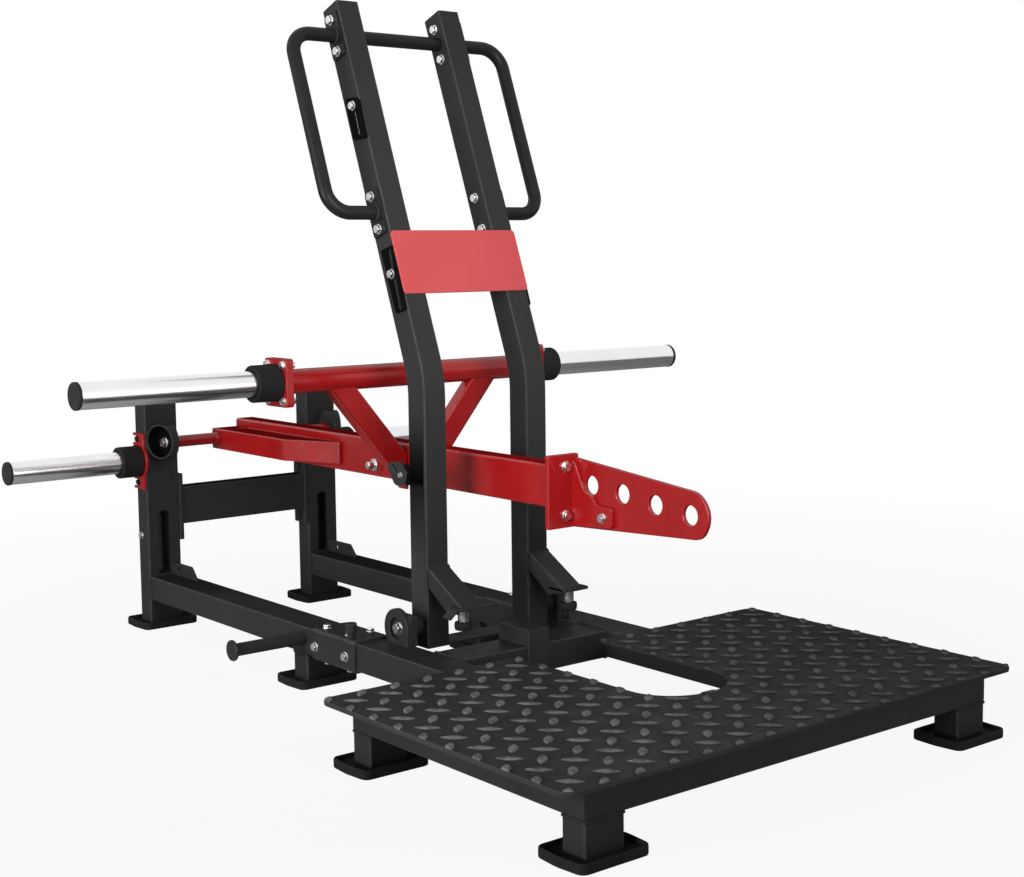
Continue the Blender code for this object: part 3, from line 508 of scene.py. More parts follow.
def noise(material, scale, detail=3.0, stretch=None):
    """Noise in Object coordinates, stretched by dividing the scale along each axis."""
    links = material.node_tree.links
    place = add(material, "TexCoord")
    source = place.outputs["Object"]
    if stretch:
        mapping = add(material, "Mapping", Scale=stretch)
        links.new(source, mapping.inputs["Vector"])
        source = mapping.outputs["Vector"]
    texture = add(material, "TexNoise", Scale=scale, Detail=detail)
    links.new(source, texture.inputs["Vector"])
    return texture.outputs["Fac"]


def spread(material, value, low, high, to_low, to_high):
    """Map a value from one range to another, and hold it there."""
    node = add(material, "MapRange", From_Min=low, From_Max=high, To_Min=to_low, To_Max=to_high)
    material.node_tree.links.new(value, node.inputs["Value"])
    return node.outputs["Result"]


def blend_colours(material, share, first, second):
    """Mix two colours, or a colour already made by nodes and a plain one."""
    node = add(material, "Mix", data_type="RGBA")
    links = material.node_tree.links
    links.new(share, node.inputs["Factor"])
    for socket, colour in ((6, first), (7, second)):
        if isinstance(colour, tuple):
            node.inputs[socket].default_value = (*colour, 1)
        else:
            links.new(colour, node.inputs[socket])
    return node.outputs[2]


def combine(material, first, second, operation="MULTIPLY"):
    """Combine two values, by multiplying them unless another operation is named."""
    node = add(material, "Math", operation=operation)
    for socket, value in ((0, first), (1, second)):
        if isinstance(value, float):
            node.inputs[socket].default_value = value
        else:
            material.node_tree.links.new(value, node.inputs[socket])
    return node.outputs[0]


def bump(material, shader, height, distance, strength=1.0):
    """Raise the surface by a height value."""
    node = add(material, "Bump", Distance=distance, Strength=strength)
    links = material.node_tree.links
    links.new(height, node.inputs["Height"])
    links.new(node.outputs["Normal"], shader.inputs["Normal"])


print("shader helpers ready")

# %% [markdown]
# The frame has a black powder coat, the lever arm a red gloss coat and the panel a paler, flatter red, whose
# pale pink is partly painted sheen. They differ only in numbers, so one function makes them all: tone drifts
# between two colours, rubbed corners turn paler, and fine noise raises the peel. The pale corners are partly
# wear and partly a painted highlight along the edges. A fine-grained coat loses its shine where it is seen
# edge-on, so the shine fades out there.


# %% Painted steel
def fade_sideways(material, shader, shine):
    """Let the shine fade out where the surface is seen edge-on, as it does on a fine-grained coat."""
    facing = add(material, "LayerWeight", Blend=0.5).outputs["Facing"]
    material.node_tree.links.new(spread(material, facing, 0.50, 0.80, shine, 0.0),
                                 shader.inputs["Specular IOR Level"])


def coated(name, colour, pale, rubbed_and_highlight, rough, peel, depth, shine, rub):
    """Powder coat: orange peel, drifting gloss, a little dust, and paler corners: rubbed wear and painted
    edge highlight.
    """
    material, shader = new_finish(name, colour, 0.0, rough, shine)
    links = material.node_tree.links
    drift = spread(material, noise(material, 5.0, 4.0), 0.35, 0.68, 0.0, 1.0)
    tone = blend_colours(material, drift, colour, pale)
    # Pale corners: partly rubbed wear, partly a painted highlight along the edges.
    edge = add(material, "Attribute", attribute_name="edge").outputs["Fac"]
    patchy = spread(material, noise(material, 60.0, 5.0), 0.34, 0.62, 0.2, 1.0)
    worn = combine(material, edge, patchy)
    share = combine(material, worn, rub)
    links.new(blend_colours(material, share, tone, rubbed_and_highlight), shader.inputs["Base Color"])
    gloss = spread(material, noise(material, 18.0, 5.0), 0.3, 0.7, rough - 0.06, rough + 0.08)
    links.new(combine(material, gloss, combine(material, worn, 0.08), "ADD"), shader.inputs["Roughness"])
    bump(material, shader, noise(material, peel, 2.0), depth)
    fade_sideways(material, shader, shine)
    return material


BLACK = (coated("black_powder_coat", (0.029, 0.029, 0.0293), (0.035, 0.035, 0.0352),
                (0.100, 0.100, 0.100), 0.46, 900.0, 0.00005, 0.06, 0.45), "black_paint")
# Near black: the hook plates' own coat, and also painted shade as the pivot cups' lining.
HOOK_AND_SHADE = (coated("black_plate_and_shade_coat", (0.0030, 0.0030, 0.0031), (0.0050, 0.0050, 0.0050),
               (0.010, 0.010, 0.010), 0.46, 900.0, 0.00005, 0.01, 0.25), "black_paint")
BAR = (coated("black_bar_coat", (0.011, 0.011, 0.0112), (0.015, 0.015, 0.0152),
              (0.030, 0.030, 0.030), 0.36, 900.0, 0.00004, 0.13, 0.25), "black_paint")
# On the red arm the pale rubbed colour is partly wear, partly a painted highlight line along its edges.
RED = (coated("red_gloss_coat", (0.330, 0.0075, 0.0085), (0.385, 0.0100, 0.0110),
              (0.60, 0.080, 0.082), 0.20, 420.0, 0.00003, 0.44, 0.35), "red_paint")
# The panel's paler pink is partly a paler red and partly painted sheen.
PANEL_WITH_SHEEN = (coated("red_panel_sheen_coat", (0.525, 0.080, 0.083), (0.565, 0.091, 0.094),
                (0.62, 0.16, 0.16), 0.40, 700.0, 0.00005, 0.05, 0.40), "red_paint")
print("painted finishes:", BLACK[0].name, RED[0].name, PANEL_WITH_SHEEN[0].name)

# %% [markdown]
# The sleeves are turned steel with a satin chrome. Turning leaves rings so fine that they only blur the
# reflection along the bar, so the noise is squeezed hard along X. Bolts are zinc plated, a duller metal
# with cloudy patches. Rubber and plastic are black with a fine grain.


# %% Metal, rubber and plastic
def sleeve_metal():
    """Satin chrome with turning rings across X."""
    material, shader = new_finish("satin_chrome", (0.85, 0.85, 0.86), 1.0, 0.20)
    links = material.node_tree.links
    rings = noise(material, 1.0, 4.0, stretch=(1600.0, 14.0, 14.0))
    clouds = noise(material, 9.0, 4.0)
    tone = blend_colours(material, spread(material, clouds, 0.35, 0.65, 0.0, 1.0), (0.82, 0.82, 0.83),
                         (0.87, 0.87, 0.88))
    links.new(tone, shader.inputs["Base Color"])
    links.new(spread(material, rings, 0.3, 0.7, 0.17, 0.25), shader.inputs["Roughness"])
    bump(material, shader, rings, 0.00001, 0.2)
    return material


def zinc_plate():
    """Bright zinc with cloudy patches."""
    material, shader = new_finish("zinc_plate", (0.78, 0.78, 0.79), 1.0, 0.26)
    links = material.node_tree.links
    clouds = spread(material, noise(material, 60.0, 3.0), 0.35, 0.65, 0.0, 1.0)
    links.new(blend_colours(material, clouds, (0.70, 0.70, 0.71), (0.86, 0.86, 0.87)),
              shader.inputs["Base Color"])
    links.new(spread(material, noise(material, 120.0), 0.3, 0.7, 0.22, 0.34), shader.inputs["Roughness"])
    bump(material, shader, noise(material, 900.0), 0.00001, 0.15)
    return material


def moulded(name, colour, pale, rough, grain, depth):
    """Moulded rubber or plastic: a fine even grain, with dust on it in soft patches."""
    material, shader = new_finish(name, colour, 0.0, rough, 0.05)
    links = material.node_tree.links
    dust = spread(material, noise(material, 12.0, 5.0), 0.42, 0.72, 0.0, 1.0)
    links.new(blend_colours(material, dust, colour, pale), shader.inputs["Base Color"])
    links.new(spread(material, noise(material, 45.0, 4.0), 0.3, 0.7, rough - 0.08, rough + 0.08),
              shader.inputs["Roughness"])
    bump(material, shader, noise(material, grain, 2.0), depth)
    fade_sideways(material, shader, 0.05)
    return material


CHROME = (sleeve_metal(), "sleeve_steel")
ZINC = (zinc_plate(), None)
RUBBER = (moulded("black_rubber", (0.017, 0.017, 0.017), (0.025, 0.025, 0.0245), 0.62, 1100.0, 0.00010),
          "rubber")
PLASTIC = (moulded("black_plastic", (0.032, 0.032, 0.0322), (0.040, 0.040, 0.040), 0.38, 800.0, 0.00004),
           "rubber")
print("metals and rubber ready")


# %% [markdown]
# The deck is chequer plate under a thick, slightly gritty coat. Shoes have polished the tops of the bars a
# little, so the bars carry their own edge value and turn paler and smoother there; the pale tops and
# shoulders also serve as a painted highlight on the bars. The coat is darker towards the right: painted
# shade, where the light falls off across the deck.


# %% Chequer plate finish
def chequer_coat():
    """Gritty charcoal coat with paler bar tops (polish and painted highlight), soft dust, a few faint scuffs,
    and painted shade towards the right.
    """
    material, shader = new_finish("chequer_coat", (0.060, 0.060, 0.059), 0.0, 0.58, 0.03)
    links = material.node_tree.links
    dust = spread(material, noise(material, 7.0, 6.0), 0.38, 0.70, 0.0, 1.0)
    tone = blend_colours(material, dust, (0.038, 0.038, 0.0376), (0.056, 0.0556, 0.0548))
    top = add(material, "Attribute", attribute_name="edge").outputs["Fac"]
    patchy = spread(material, noise(material, 70.0, 5.0), 0.34, 0.66, 0.35, 1.0)
    worn = combine(material, top, patchy)
    # Bar tops and shoulders turn pale: partly polish, partly a painted highlight on the bars.
    tone = blend_colours(material, worn, tone, (0.420, 0.417, 0.409))
    scuffs = noise(material, 3.0, 8.0, stretch=(30.0, 3.0, 3.0))
    scuffs = spread(material, scuffs, 0.62, 0.74, 0.0, 0.5)
    tone = blend_colours(material, scuffs, tone, (0.090, 0.088, 0.086))
    place = add(material, "TexCoord")
    parts = add(material, "SeparateXYZ")
    links.new(place.outputs["Object"], parts.inputs[0])
    # Painted shade: the coat darkens towards the right, as the light falls off across the deck.
    shade_to_right = spread(material, parts.outputs["X"], -0.48, 0.10, 0.0, 0.66)
    links.new(blend_colours(material, shade_to_right, tone, (0.012, 0.012, 0.012)), shader.inputs["Base Color"])
    rough = spread(material, noise(material, 26.0, 5.0), 0.3, 0.7, 0.46, 0.62)
    links.new(combine(material, rough, combine(material, worn, 0.10), "SUBTRACT"), shader.inputs["Roughness"])
    bump(material, shader, noise(material, 620.0, 3.0), 0.00016)
    fade_sideways(material, shader, 0.08)
    return material


DECK = (chequer_coat(), "chequer_deck")
print("deck finish ready")

# %% [markdown]
# Now the pieces. The deck is a 4 mm plate with a slot in which the drilled fin can come down. It could be a
# box with a hole cut by a Boolean. An outline with round corners, carried through the thickness, gives the
# slot and the broken edges at once. A second outline adds the short lip under the front and the sides.

# %% Deck plate
deck_low, deck_high = (np.array(v) - (0, FRONT, 0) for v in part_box("deck_plate"))
CUT_HALF, CUT_FRONT, CUT_CORNER, DECK_CORNER = 0.097, 0.214, 0.090, 0.024
DECK_THICK, LIP_THICK, LIP_END = 0.0042, 0.005, 0.300
deck_outline, _ = rounded([
    (deck_low[0], deck_low[1], DECK_CORNER), (deck_high[0], deck_low[1], DECK_CORNER),
    (deck_high[0], deck_high[1], DECK_CORNER), (CUT_HALF, deck_high[1], 0.018),
    (CUT_HALF, CUT_FRONT, CUT_CORNER), (-CUT_HALF, CUT_FRONT, CUT_CORNER),
    (-CUT_HALF, deck_high[1], 0.018), (deck_low[0], deck_high[1], DECK_CORNER),
], steps=12)
sheet = plate(deck_outline, "z", deck_high[2] - DECK_THICK, deck_high[2], 0.0011)
left, front, right, back = *(deck_low[:2] + 0.0002), *(deck_high[:2] - 0.0002)
bend = DECK_CORNER - LIP_THICK
lip_outline, _ = rounded([
    (-LIP_END, back, 0.0), (left, back, DECK_CORNER), (left, front, DECK_CORNER), (right, front, DECK_CORNER),
    (right, back, DECK_CORNER), (LIP_END, back, 0.0), (LIP_END, back - LIP_THICK, 0.0),
    (right - LIP_THICK, back - LIP_THICK, bend), (right - LIP_THICK, front + LIP_THICK, bend),
    (left + LIP_THICK, front + LIP_THICK, bend), (left + LIP_THICK, back - LIP_THICK, bend),
    (-LIP_END, back - LIP_THICK, 0.0),
], 8, guard=0.0003)
lip = plate(lip_outline, "z", deck_low[2], deck_high[2] - DECK_THICK / 2, 0.0008)
points, quads, tris, edges = merge(sheet, lip)
add_piece("deck_plate_coated", (points, quads, tris, edges * 0.15), BASE, DECK, ["deck_plate"])
tell("deck")


# %% [markdown]
# The tread bars stand on a square grid turned by 45 degrees, each one crossing its neighbours, as on real
# five-millimetre plate. A bump texture would look flat from the side, so each bar is a real lens: half its
# width times (1 - (x / half its length) squared). Bars that run over the edge are cut there on a real
# plate, so their points are moved back to the edge.


# %% Tread bars
PITCH, BAR_LONG, BAR_WIDE, BAR_TALL = 0.0479, 0.0455, 0.0170, 0.0024
GRID_A, GRID_B = -0.0404, -0.4430
EDGE_GAP, BAR_POINTS = 0.0012, 16


def push_out(points, middle, half, radius, margin, keep_inside):
    """Move points that are on the wrong side of a rounded rectangle's edge to the nearest place on it."""
    from_middle = points - middle
    beyond = np.abs(from_middle) - (np.asarray(half) - radius)
    reach = np.linalg.norm(np.maximum(beyond, 0), axis=1)
    inner = np.minimum(beyond.max(1), 0)
    distance = reach + inner - radius
    side = np.where(reach[:, None] > 0, np.maximum(beyond, 0),
                    (beyond >= beyond.max(1, keepdims=True)).astype(float)) * np.sign(from_middle)
    side /= np.maximum(np.linalg.norm(side, axis=1, keepdims=True), 1e-9)
    over = np.maximum(distance + margin, 0) if keep_inside else np.minimum(distance - margin, 0)
    return points - side * over[:, None], distance


def tread_bars():
    """All the bars as one shape: rings of a lens that shrink as they rise."""
    i, j = (v.ravel() for v in np.meshgrid(np.arange(-16, 26), np.arange(-16, 26), indexing="ij"))
    a, b = GRID_A + (i - 5) * PITCH, GRID_B + (j + 5) * PITCH
    centres = np.column_stack((a + b, a - b)) / math.sqrt(2)
    across = (i + j) % 2 == 0
    middle = (deck_low[:2] + deck_high[:2]) / 2
    half = (deck_high[:2] - deck_low[:2]) / 2
    slot = (np.array((0.0, CUT_FRONT + 0.5)), np.array((CUT_HALF, 0.5)))
    _, outside = push_out(centres, middle, half, DECK_CORNER, 0, True)
    _, from_slot = push_out(centres, *slot, CUT_CORNER, 0, False)
    kept = (outside < 0.010) & (from_slot > -0.010)
    centres, across = centres[kept], across[kept]
    t = (np.arange(BAR_POINTS) + 0.5) * 2 * np.pi / BAR_POINTS
    lens = np.column_stack((BAR_LONG / 2 * np.cos(t), BAR_WIDE / 2 * np.sin(t) * np.abs(np.sin(t))))
    shrink, rise = np.array((1.0, 0.88, 0.60)), np.array((-0.0003, 0.80, 1.0))
    turn = np.where(across, -np.pi / 4, np.pi / 4)
    c, s = np.cos(turn)[:, None], np.sin(turn)[:, None]
    shapes = []
    flat = np.stack((c * lens[:, 0] - s * lens[:, 1], s * lens[:, 0] + c * lens[:, 1]), -1)
    rings = centres[:, None, None] + flat[:, None] * shrink[None, :, None, None]
    shape = rings.shape
    moved, _ = push_out(rings.reshape(-1, 2), middle, half, DECK_CORNER, EDGE_GAP, True)
    moved, _ = push_out(moved, *slot, CUT_CORNER, EDGE_GAP, False)
    rings = moved.reshape(shape)
    levels = deck_high[2] + rise * BAR_TALL
    for ring in rings:
        stood = np.concatenate((ring, np.broadcast_to(levels[:, None, None], (3, BAR_POINTS, 1))), -1)
        # High edge values on the shoulder and top rings make the finish paint them pale: polish and a painted
        # highlight.
        shapes.append(skin(stood, np.zeros(BAR_POINTS), np.array((0.0, 0.75, 0.8))))
    bars = merge(*shapes)
    bars[3][bars[0][:, 2] > levels[2] - 1e-6] = 0.80
    return bars, len(centres)


tread, count = tread_bars()
add_piece("deck_tread_bars", tread, BASE, DECK, sharp=60)
tell(f"{count} tread bars as one")

# %% [markdown]
# The platform's frame is 50 mm square tube, mitred at the front corners and where the short back pieces
# meet the sides. A Boolean could cut the mitres. Sliding each end point along the tube by its distance across
# makes the same 45 degree mitre and keeps the mesh plain. Most pieces come in pairs, so a pair is one call.

# %% Platform frame
GAP, HALF, TUBE = 0.0003, 0.4634, 0.050
LOW, HIGH = 0.0640, 0.118
DEPTH, BACK_END = 0.588, 0.2518
MITRED = 0.003, 0.0006
inner = HALF - TUBE


def mirrored(shape, side):
    """Flip a right-hand shape to the left of the machine where side is -1."""
    return (shape[0] * np.array((side, 1.0, 1.0)), *shape[1:])


def add_pair(name, ending, shape, body, look, stands_for=True):
    """Add a right-hand shape and its mirror image; most pairs stand for the CAD nodes of that name."""
    for side_name, side in SIDES:
        node = f"{name}_{side_name}"
        add_piece(node + ending, mirrored(shape, side), body, look, [node] if stands_for else ())


front_tube = box_tube((-HALF + GAP, 0, LOW), (HALF - GAP, TUBE, HIGH), "x", *MITRED, (1, -1))
add_piece("platform_front_tube_coated", front_tube, BASE, BLACK, ["platform_front_tube"])
side_tube = box_tube((inner, TUBE + GAP, LOW), (HALF, DEPTH - TUBE - GAP, HIGH), "y", *MITRED, (-1, 1))
add_pair("platform_side_tube", "_coated", side_tube, BASE, BLACK)
back_tube = box_tube((BACK_END, DEPTH - TUBE, LOW), (inner - GAP, DEPTH, HIGH), "x", *MITRED, (0, 1))
add_pair("platform_back_tube", "_coated", back_tube, BASE, BLACK)
tell("platform frame")

# %% [markdown]
# Every leg stands in a moulded rubber shoe: a dish with a raised rim, straight along the sides and gently
# bowed at its ends. A lathe would make it round, so the dish is one outline drawn in and lifted step by
# step, from the ground up the outside, over the rim and down to its floor.

# %% Feet
FOOT_X, FOOT_Y = 0.0757, 0.0505
RAIL_MID, RAIL_FOOT_Y = 0.214, 1.104
UPRIGHT_MID, UPRIGHT_Y = 0.2135, 1.782
SHOE_STEPS = np.array([(0.0026, 0.0), (0.0007, 0.0008), (0.0, 0.0026), (0.0, 0.0031), (0.0, 0.0130),
                       (0.0, 0.0135), (0.0005, 0.0157), (0.0017, 0.0168), (0.0027, 0.0170), (0.0037, 0.0168),
                       (0.0049, 0.0157), (0.0055, 0.0135), (0.0056, 0.0118), (0.0062, 0.0104),
                       (0.0076, 0.0100), (0.0082, 0.0100)])
SHOE_WORN = np.array([0, .6, .3, 0, 0, .3, .8, 1, 1, 1, .8, .3, 0, 0, 0, 0])


def shoe(x, y):
    """Rings of the shoe's outline, drawn in by each step's inset at that step's height."""
    a, b, bow = 0.0655, 0.0522, 0.0045
    outline, _ = rounded([(x - a, y - b, 0.014), (x + a, y - b, 0.014), (x + a + bow, y, 0.09),
                          (x + a, y + b, 0.014), (x - a, y + b, 0.014), (x - a - bow, y, 0.09)], 6)
    flat = np.stack([inset(turn_left(outline), d) for d in SHOE_STEPS[:, 0]])
    return skin(stand(flat, SHOE_STEPS[:, 1, None, None], "z"), np.zeros(len(outline)), SHOE_WORN)


def leg(x, y):
    """The short upright tube in a shoe."""
    low, high = (x - FOOT_X / 2, y - FOOT_Y / 2, 0.0095), (x + FOOT_X / 2, y + FOOT_Y / 2, LOW - GAP)
    return box_tube(low, high, "z", 0.004)


feet = {"platform_foot_front": (HALF - FOOT_X / 2, FOOT_Y / 2),
        "platform_foot_back": (HALF - FOOT_X / 2, DEPTH - FOOT_Y / 2), "rail_foot": (RAIL_MID, RAIL_FOOT_Y)}
for name, place in feet.items():
    add_pair(name, "_shoe", shoe(*place), BASE, RUBBER)
    add_pair(name, "_leg", leg(*place), BASE, BLACK, False)
add_pair("upright_shoe", "_moulded", shoe(UPRIGHT_MID, UPRIGHT_Y), BASE, RUBBER)
tell("feet")

# %% [markdown]
# The two long rails are 75 by 50 tube in two lengths. The rear length carries a small drilled tab against
# the upright, a cut plate that is merged into the same mesh, as the weld makes them one piece.

# %% Rails
RAIL_IN, RAIL_OUT, RAIL_END = 0.1765, 0.2515, 1.7567
TAB_LOW, TAB_HIGH = HIGH - 0.004, 0.146
front_rail = box_tube((RAIL_IN, TUBE + GAP, LOW), (RAIL_OUT, 0.8997, HIGH), "y")
add_pair("front_rail", "_coated", front_rail, BASE, BLACK)
rear_rail = box_tube((RAIL_IN, 1.0523, LOW), (RAIL_OUT, RAIL_END, HIGH), "y")
tab_outline, _ = rounded([(1.634, TAB_LOW, 0.0005), (RAIL_END, TAB_LOW, 0.0005), (RAIL_END, TAB_HIGH, 0.003),
                          (1.664, TAB_HIGH, 0.010)])
for side_name, side in SIDES:
    tab_x = side * UPRIGHT_MID + 0.0155
    tab = plate(tab_outline, "x", tab_x, tab_x + 0.006, 0.0008, [circle((1.7223, 0.1315), 0.0055, 20)])
    add_piece(f"rear_rail_{side_name}_coated", merge(mirrored(rear_rail, side), tab), BASE, BLACK,
              [f"rear_rail_{side_name}"])
tell("rails")

# %% [markdown]
# A short sleeve joins the two lengths of each rail, bolted through its sides, with a knob on top that locks
# it. It is a second tube, drawn a wall's thickness larger all round than the rail inside it, and the knob is
# turned on the lathe.

# %% Rail splices
WALL = 0.0045
sleeve = box_tube((RAIL_IN - WALL, 0.900, LOW - WALL), (RAIL_OUT + WALL, 1.052, HIGH + WALL), "y", 0.007)
knob = lathe([(HIGH, 0.0075, 0), (0.134, 0.0075, 0.0005), (0.134, 0.0115, 0.0015), (0.152, 0.0115, 0.0020)],
             (0.243, 0.930, 0), "z", 32)
add_pair("rail_splice", "_coated", merge(sleeve, knob), BASE, BLACK)
side_bolts = bolts([(RAIL_OUT + WALL, 1.0390, 0.0875), (RAIL_OUT + WALL, 0.9310, 0.0880)], "x", 1, 0.0145)
top_bolts = bolts([(0.2340, 1.0310, HIGH + WALL), (0.2340, 0.9500, HIGH + WALL),
                   (0.1850, 0.9500, HIGH + WALL)], "z", 1, 0.0135)
low_bolts = bolts([(0.2340, 1.0290, LOW - WALL), (0.2340, 0.9460, LOW - WALL)], "z", -1, 0.0145)
add_pair("splice_bolts", "", merge(side_bolts, top_bolts, low_bolts), BASE, ZINC, False)
tell("rail splices")

# %% [markdown]
# A band peg sticks out of each rear rail: a plain bar with a broad head, so that an elastic band can't slip
# off. It is round, so a short profile on the lathe is all it takes. The crossmember between the rails carries
# the stop for the lever arm, whose lip hangs down in front. Its side view is drawn, and given its width.

# %% Band pegs, crossmember and stop
peg = lathe([(RAIL_OUT + GAP, 0.0126, 0.0003), (0.4065, 0.0126, 0.0010), (0.4065, 0.0205, 0.0020),
             (0.4130, 0.0205, 0.0025)], (0, 1.0915, 0.0955), "x", 40)
add_pair("band_peg", "_coated", peg, BASE, BLACK)
add_piece("front_crossmember_coated", node_tube("front_crossmember", "x"), BASE, BLACK, ["front_crossmember"])
stop, _ = rounded([(0.661, 0.076, 0.0022), (0.6667, 0.076, 0.0020), (0.6667, HIGH + GAP, 0.0003),
                   (0.7515, HIGH + GAP, 0.0020), (0.7515, 0.150, 0.0025), (0.661, 0.150, 0.0025)])
add_piece("arm_stop_coated", plate(stop, "x", -0.025, 0.025, 0.0012), BASE, BLACK, ["arm_stop"])
tell("pegs, crossmember and stop")

# %% [markdown]
# The rear uprights have a long slot with a round top in their front faces. We build each as a tube and take
# the slot out with a Boolean, which is then applied, so that the finished mesh holds the real opening.


# %% Rear uprights
def cut(piece, shape):
    """Take a shape out of a finished piece with an exact Boolean, and apply it."""
    mesh = write_mesh("cutter", (shape[0] + np.array((0.0, FRONT, 0.0)), *shape[1:]))
    face_out(mesh)
    cutter = new_object("cutter", mesh)
    step = piece.modifiers.new("cut", "BOOLEAN")
    step.operation = "DIFFERENCE"
    step.solver = "EXACT"
    step.object = cutter
    bpy.context.view_layer.update()
    result = bpy.data.meshes.new_from_object(piece.evaluated_get(bpy.context.evaluated_depsgraph_get()))
    piece.modifiers.clear()
    piece.data = result
    smooth(result)
    bpy.data.objects.remove(cutter)


SLOT_HALF = 0.0155
for side_name, side in SIDES:
    x = side * UPRIGHT_MID
    tube = box_tube((x - 0.0400, 1.757, 0.0103), (x + 0.0400, 1.807, 0.543), "z")
    upright = add_piece(f"rear_upright_{side_name}_coated", tube, BASE, BLACK, [f"rear_upright_{side_name}"])
    slot, _ = rounded([(x - SLOT_HALF, 0.122, 0.002), (x + SLOT_HALF, 0.122, 0.002),
                       (x + SLOT_HALF, 0.268, 0.0150), (x - SLOT_HALF, 0.268, 0.0150)], 8, guard=0.0003)
    cut(upright, plate(slot, "y", 1.745, 1.802, 0.0005))
cap = box_tube((UPRIGHT_MID - 0.0395, 1.7575, 0.5405), (UPRIGHT_MID + 0.0395, 1.8065, 0.545), "z",
               0.003, 0.0015)
add_pair("upright_cap", "", cap, BASE, PLASTIC, False)
add_pair("upright_bolt", "", bolts([(0.2535, 1.7900, 0.2103)], "x", 1, 0.0115), BASE, ZINC, False)
tell("rear uprights")

# %% [markdown]
# A bare rectangular bar ties the uprights together. It hangs between two ears, each bolted to its upright,
# and all three are boxes with broken edges in one mesh.

# %% Rear crossmember
EAR_OUT, EAR_IN = 0.1732, 0.1632
tie = box_tube((-EAR_OUT, 1.758, 0.231), (EAR_OUT, 1.803, 0.317), "x", 0.003)
ears = [box_tube((x, 1.756, 0.195), (x + EAR_OUT - EAR_IN, 1.807, 0.349), "z", 0.002)
        for x in (-EAR_OUT, EAR_IN)]
add_piece("rear_crossmember_coated", merge(tie, *ears), BASE, BLACK, ["rear_crossmember"])
ear_bolts = [bolts([(side * EAR_IN, UPRIGHT_Y, z) for z in (0.211, 0.334)], "x", -side, 0.015)
             for _, side in SIDES]
add_piece("crossmember_bolts", merge(*ear_bolts), BASE, BLACK)
tell("rear crossmember")

# %% [markdown]
# The lever arm's journals turn in two round cups in front of the uprights. Each cup lies on its side and
# opens outwards, with a hexagon screw in its middle, and a saddle carries it on the upright. The cup's mouth
# is cut on a slant: each point near it slides outwards by a third of how far back it is.

# %% Pivot cups
PIVOT_Y, PIVOT_Z = 1.7200, 0.4290
CUP_Z, CUP_SLANT, CUP_MOUTH, CUP_EDGE, CUP_RADIUS = 0.4315, 0.338, 0.2294, 0.2373, 0.0395
UPRIGHT_FACE = RAIL_END


def slanted(shape):
    """Slide the mouth's points along X by the slant times y, and flatten the back on the upright's face."""
    points = shape[0].copy()
    mouth = points[:, 0] > CUP_MOUTH
    points[mouth, 0] += CUP_SLANT * (points[mouth, 1] - PIVOT_Y)
    points[:, 1] = np.minimum(points[:, 1], UPRIGHT_FACE)
    return (points, *shape[1:])


saddle = np.concatenate((arc((PIVOT_Y, CUP_Z), 0.0370, -45, 27, 9),
                         [(UPRIGHT_FACE, 0.4450), (UPRIGHT_FACE, 0.4050)]))
saddle = plate(saddle, "x", 0.2080, 0.2363, 0.0006)
pot = lathe([(0.2175, 0.0105, 0.0002), (0.2070, 0.0105, 0.0004), (0.2070, CUP_RADIUS, 0.0018),
             (CUP_EDGE, CUP_RADIUS, 0.0010), (CUP_EDGE, 0.0358, 0.0008), (0.2213, 0.0358, 0.0010)],
            (0, PIVOT_Y, CUP_Z), "x", 64)
# The lining is a near-black sheet on the cup's inner wall: painted shade in the hollow.
shade_lining = lathe([(0.2215, 0.0357, 0.0004), (0.2350, 0.0357, 0.0002), (0.2350, 0.0350, 0.0002),
                (0.2222, 0.0350, 0.0010)], (0, PIVOT_Y, CUP_Z), "x", 64)
add_pair("pivot_cup", "_coated", merge(slanted(pot), saddle), BASE, BLACK)
add_pair("pivot_cup", "_lining", slanted(shade_lining), BASE, HOOK_AND_SHADE, False)
add_pair("pivot_cup_bolt", "", bolts([(0.2222, PIVOT_Y, PIVOT_Z)], "x", 1, 0.019), BASE, ZINC, False)
tell("pivot cups")


# %% [markdown]
# A loading horn has three parts: a black collar that stops the plates, the steel sleeve, and a black end
# cap. All are lathe parts on one line, and each is its own piece, so that each keeps its own finish. The
# storage horns are the same, only shorter, on a flange whose outline is straight runs and arcs in a row.


# %% Horns
def add_horns(name, root, collar_end, end, y, z, body):
    """Collars, sleeves and caps of two horns, each a profile of (along, radius, rounding)."""
    line, seat = (0, y, z), end - 0.0075
    collar = lathe([(root, 0.0357, 0.0025), (collar_end, 0.0357, 0.0015), (collar_end, 0.0262, 0.0008),
                    (collar_end - 0.004, 0.0252, 0.0005)], line, "x", 64)
    sleeve = lathe([(root + 0.010, 0.0250, 0.0005), (seat, 0.0250, 0.0010)], line, "x", 72)
    plug = lathe([(seat, 0.0256, 0.0006), (end, 0.0256, 0.0026)], line, "x", 64)
    add_pair(name, "_collar", collar, body, RUBBER)
    add_pair(name, "_sleeve", sleeve, body, CHROME, False)
    add_pair(name, "_cap", plug, body, PLASTIC, False)


STORE_Y, STORE_Z = UPRIGHT_Y, 0.384
STORE_IN, STORE_NOTCH = 0.2538, 0.050


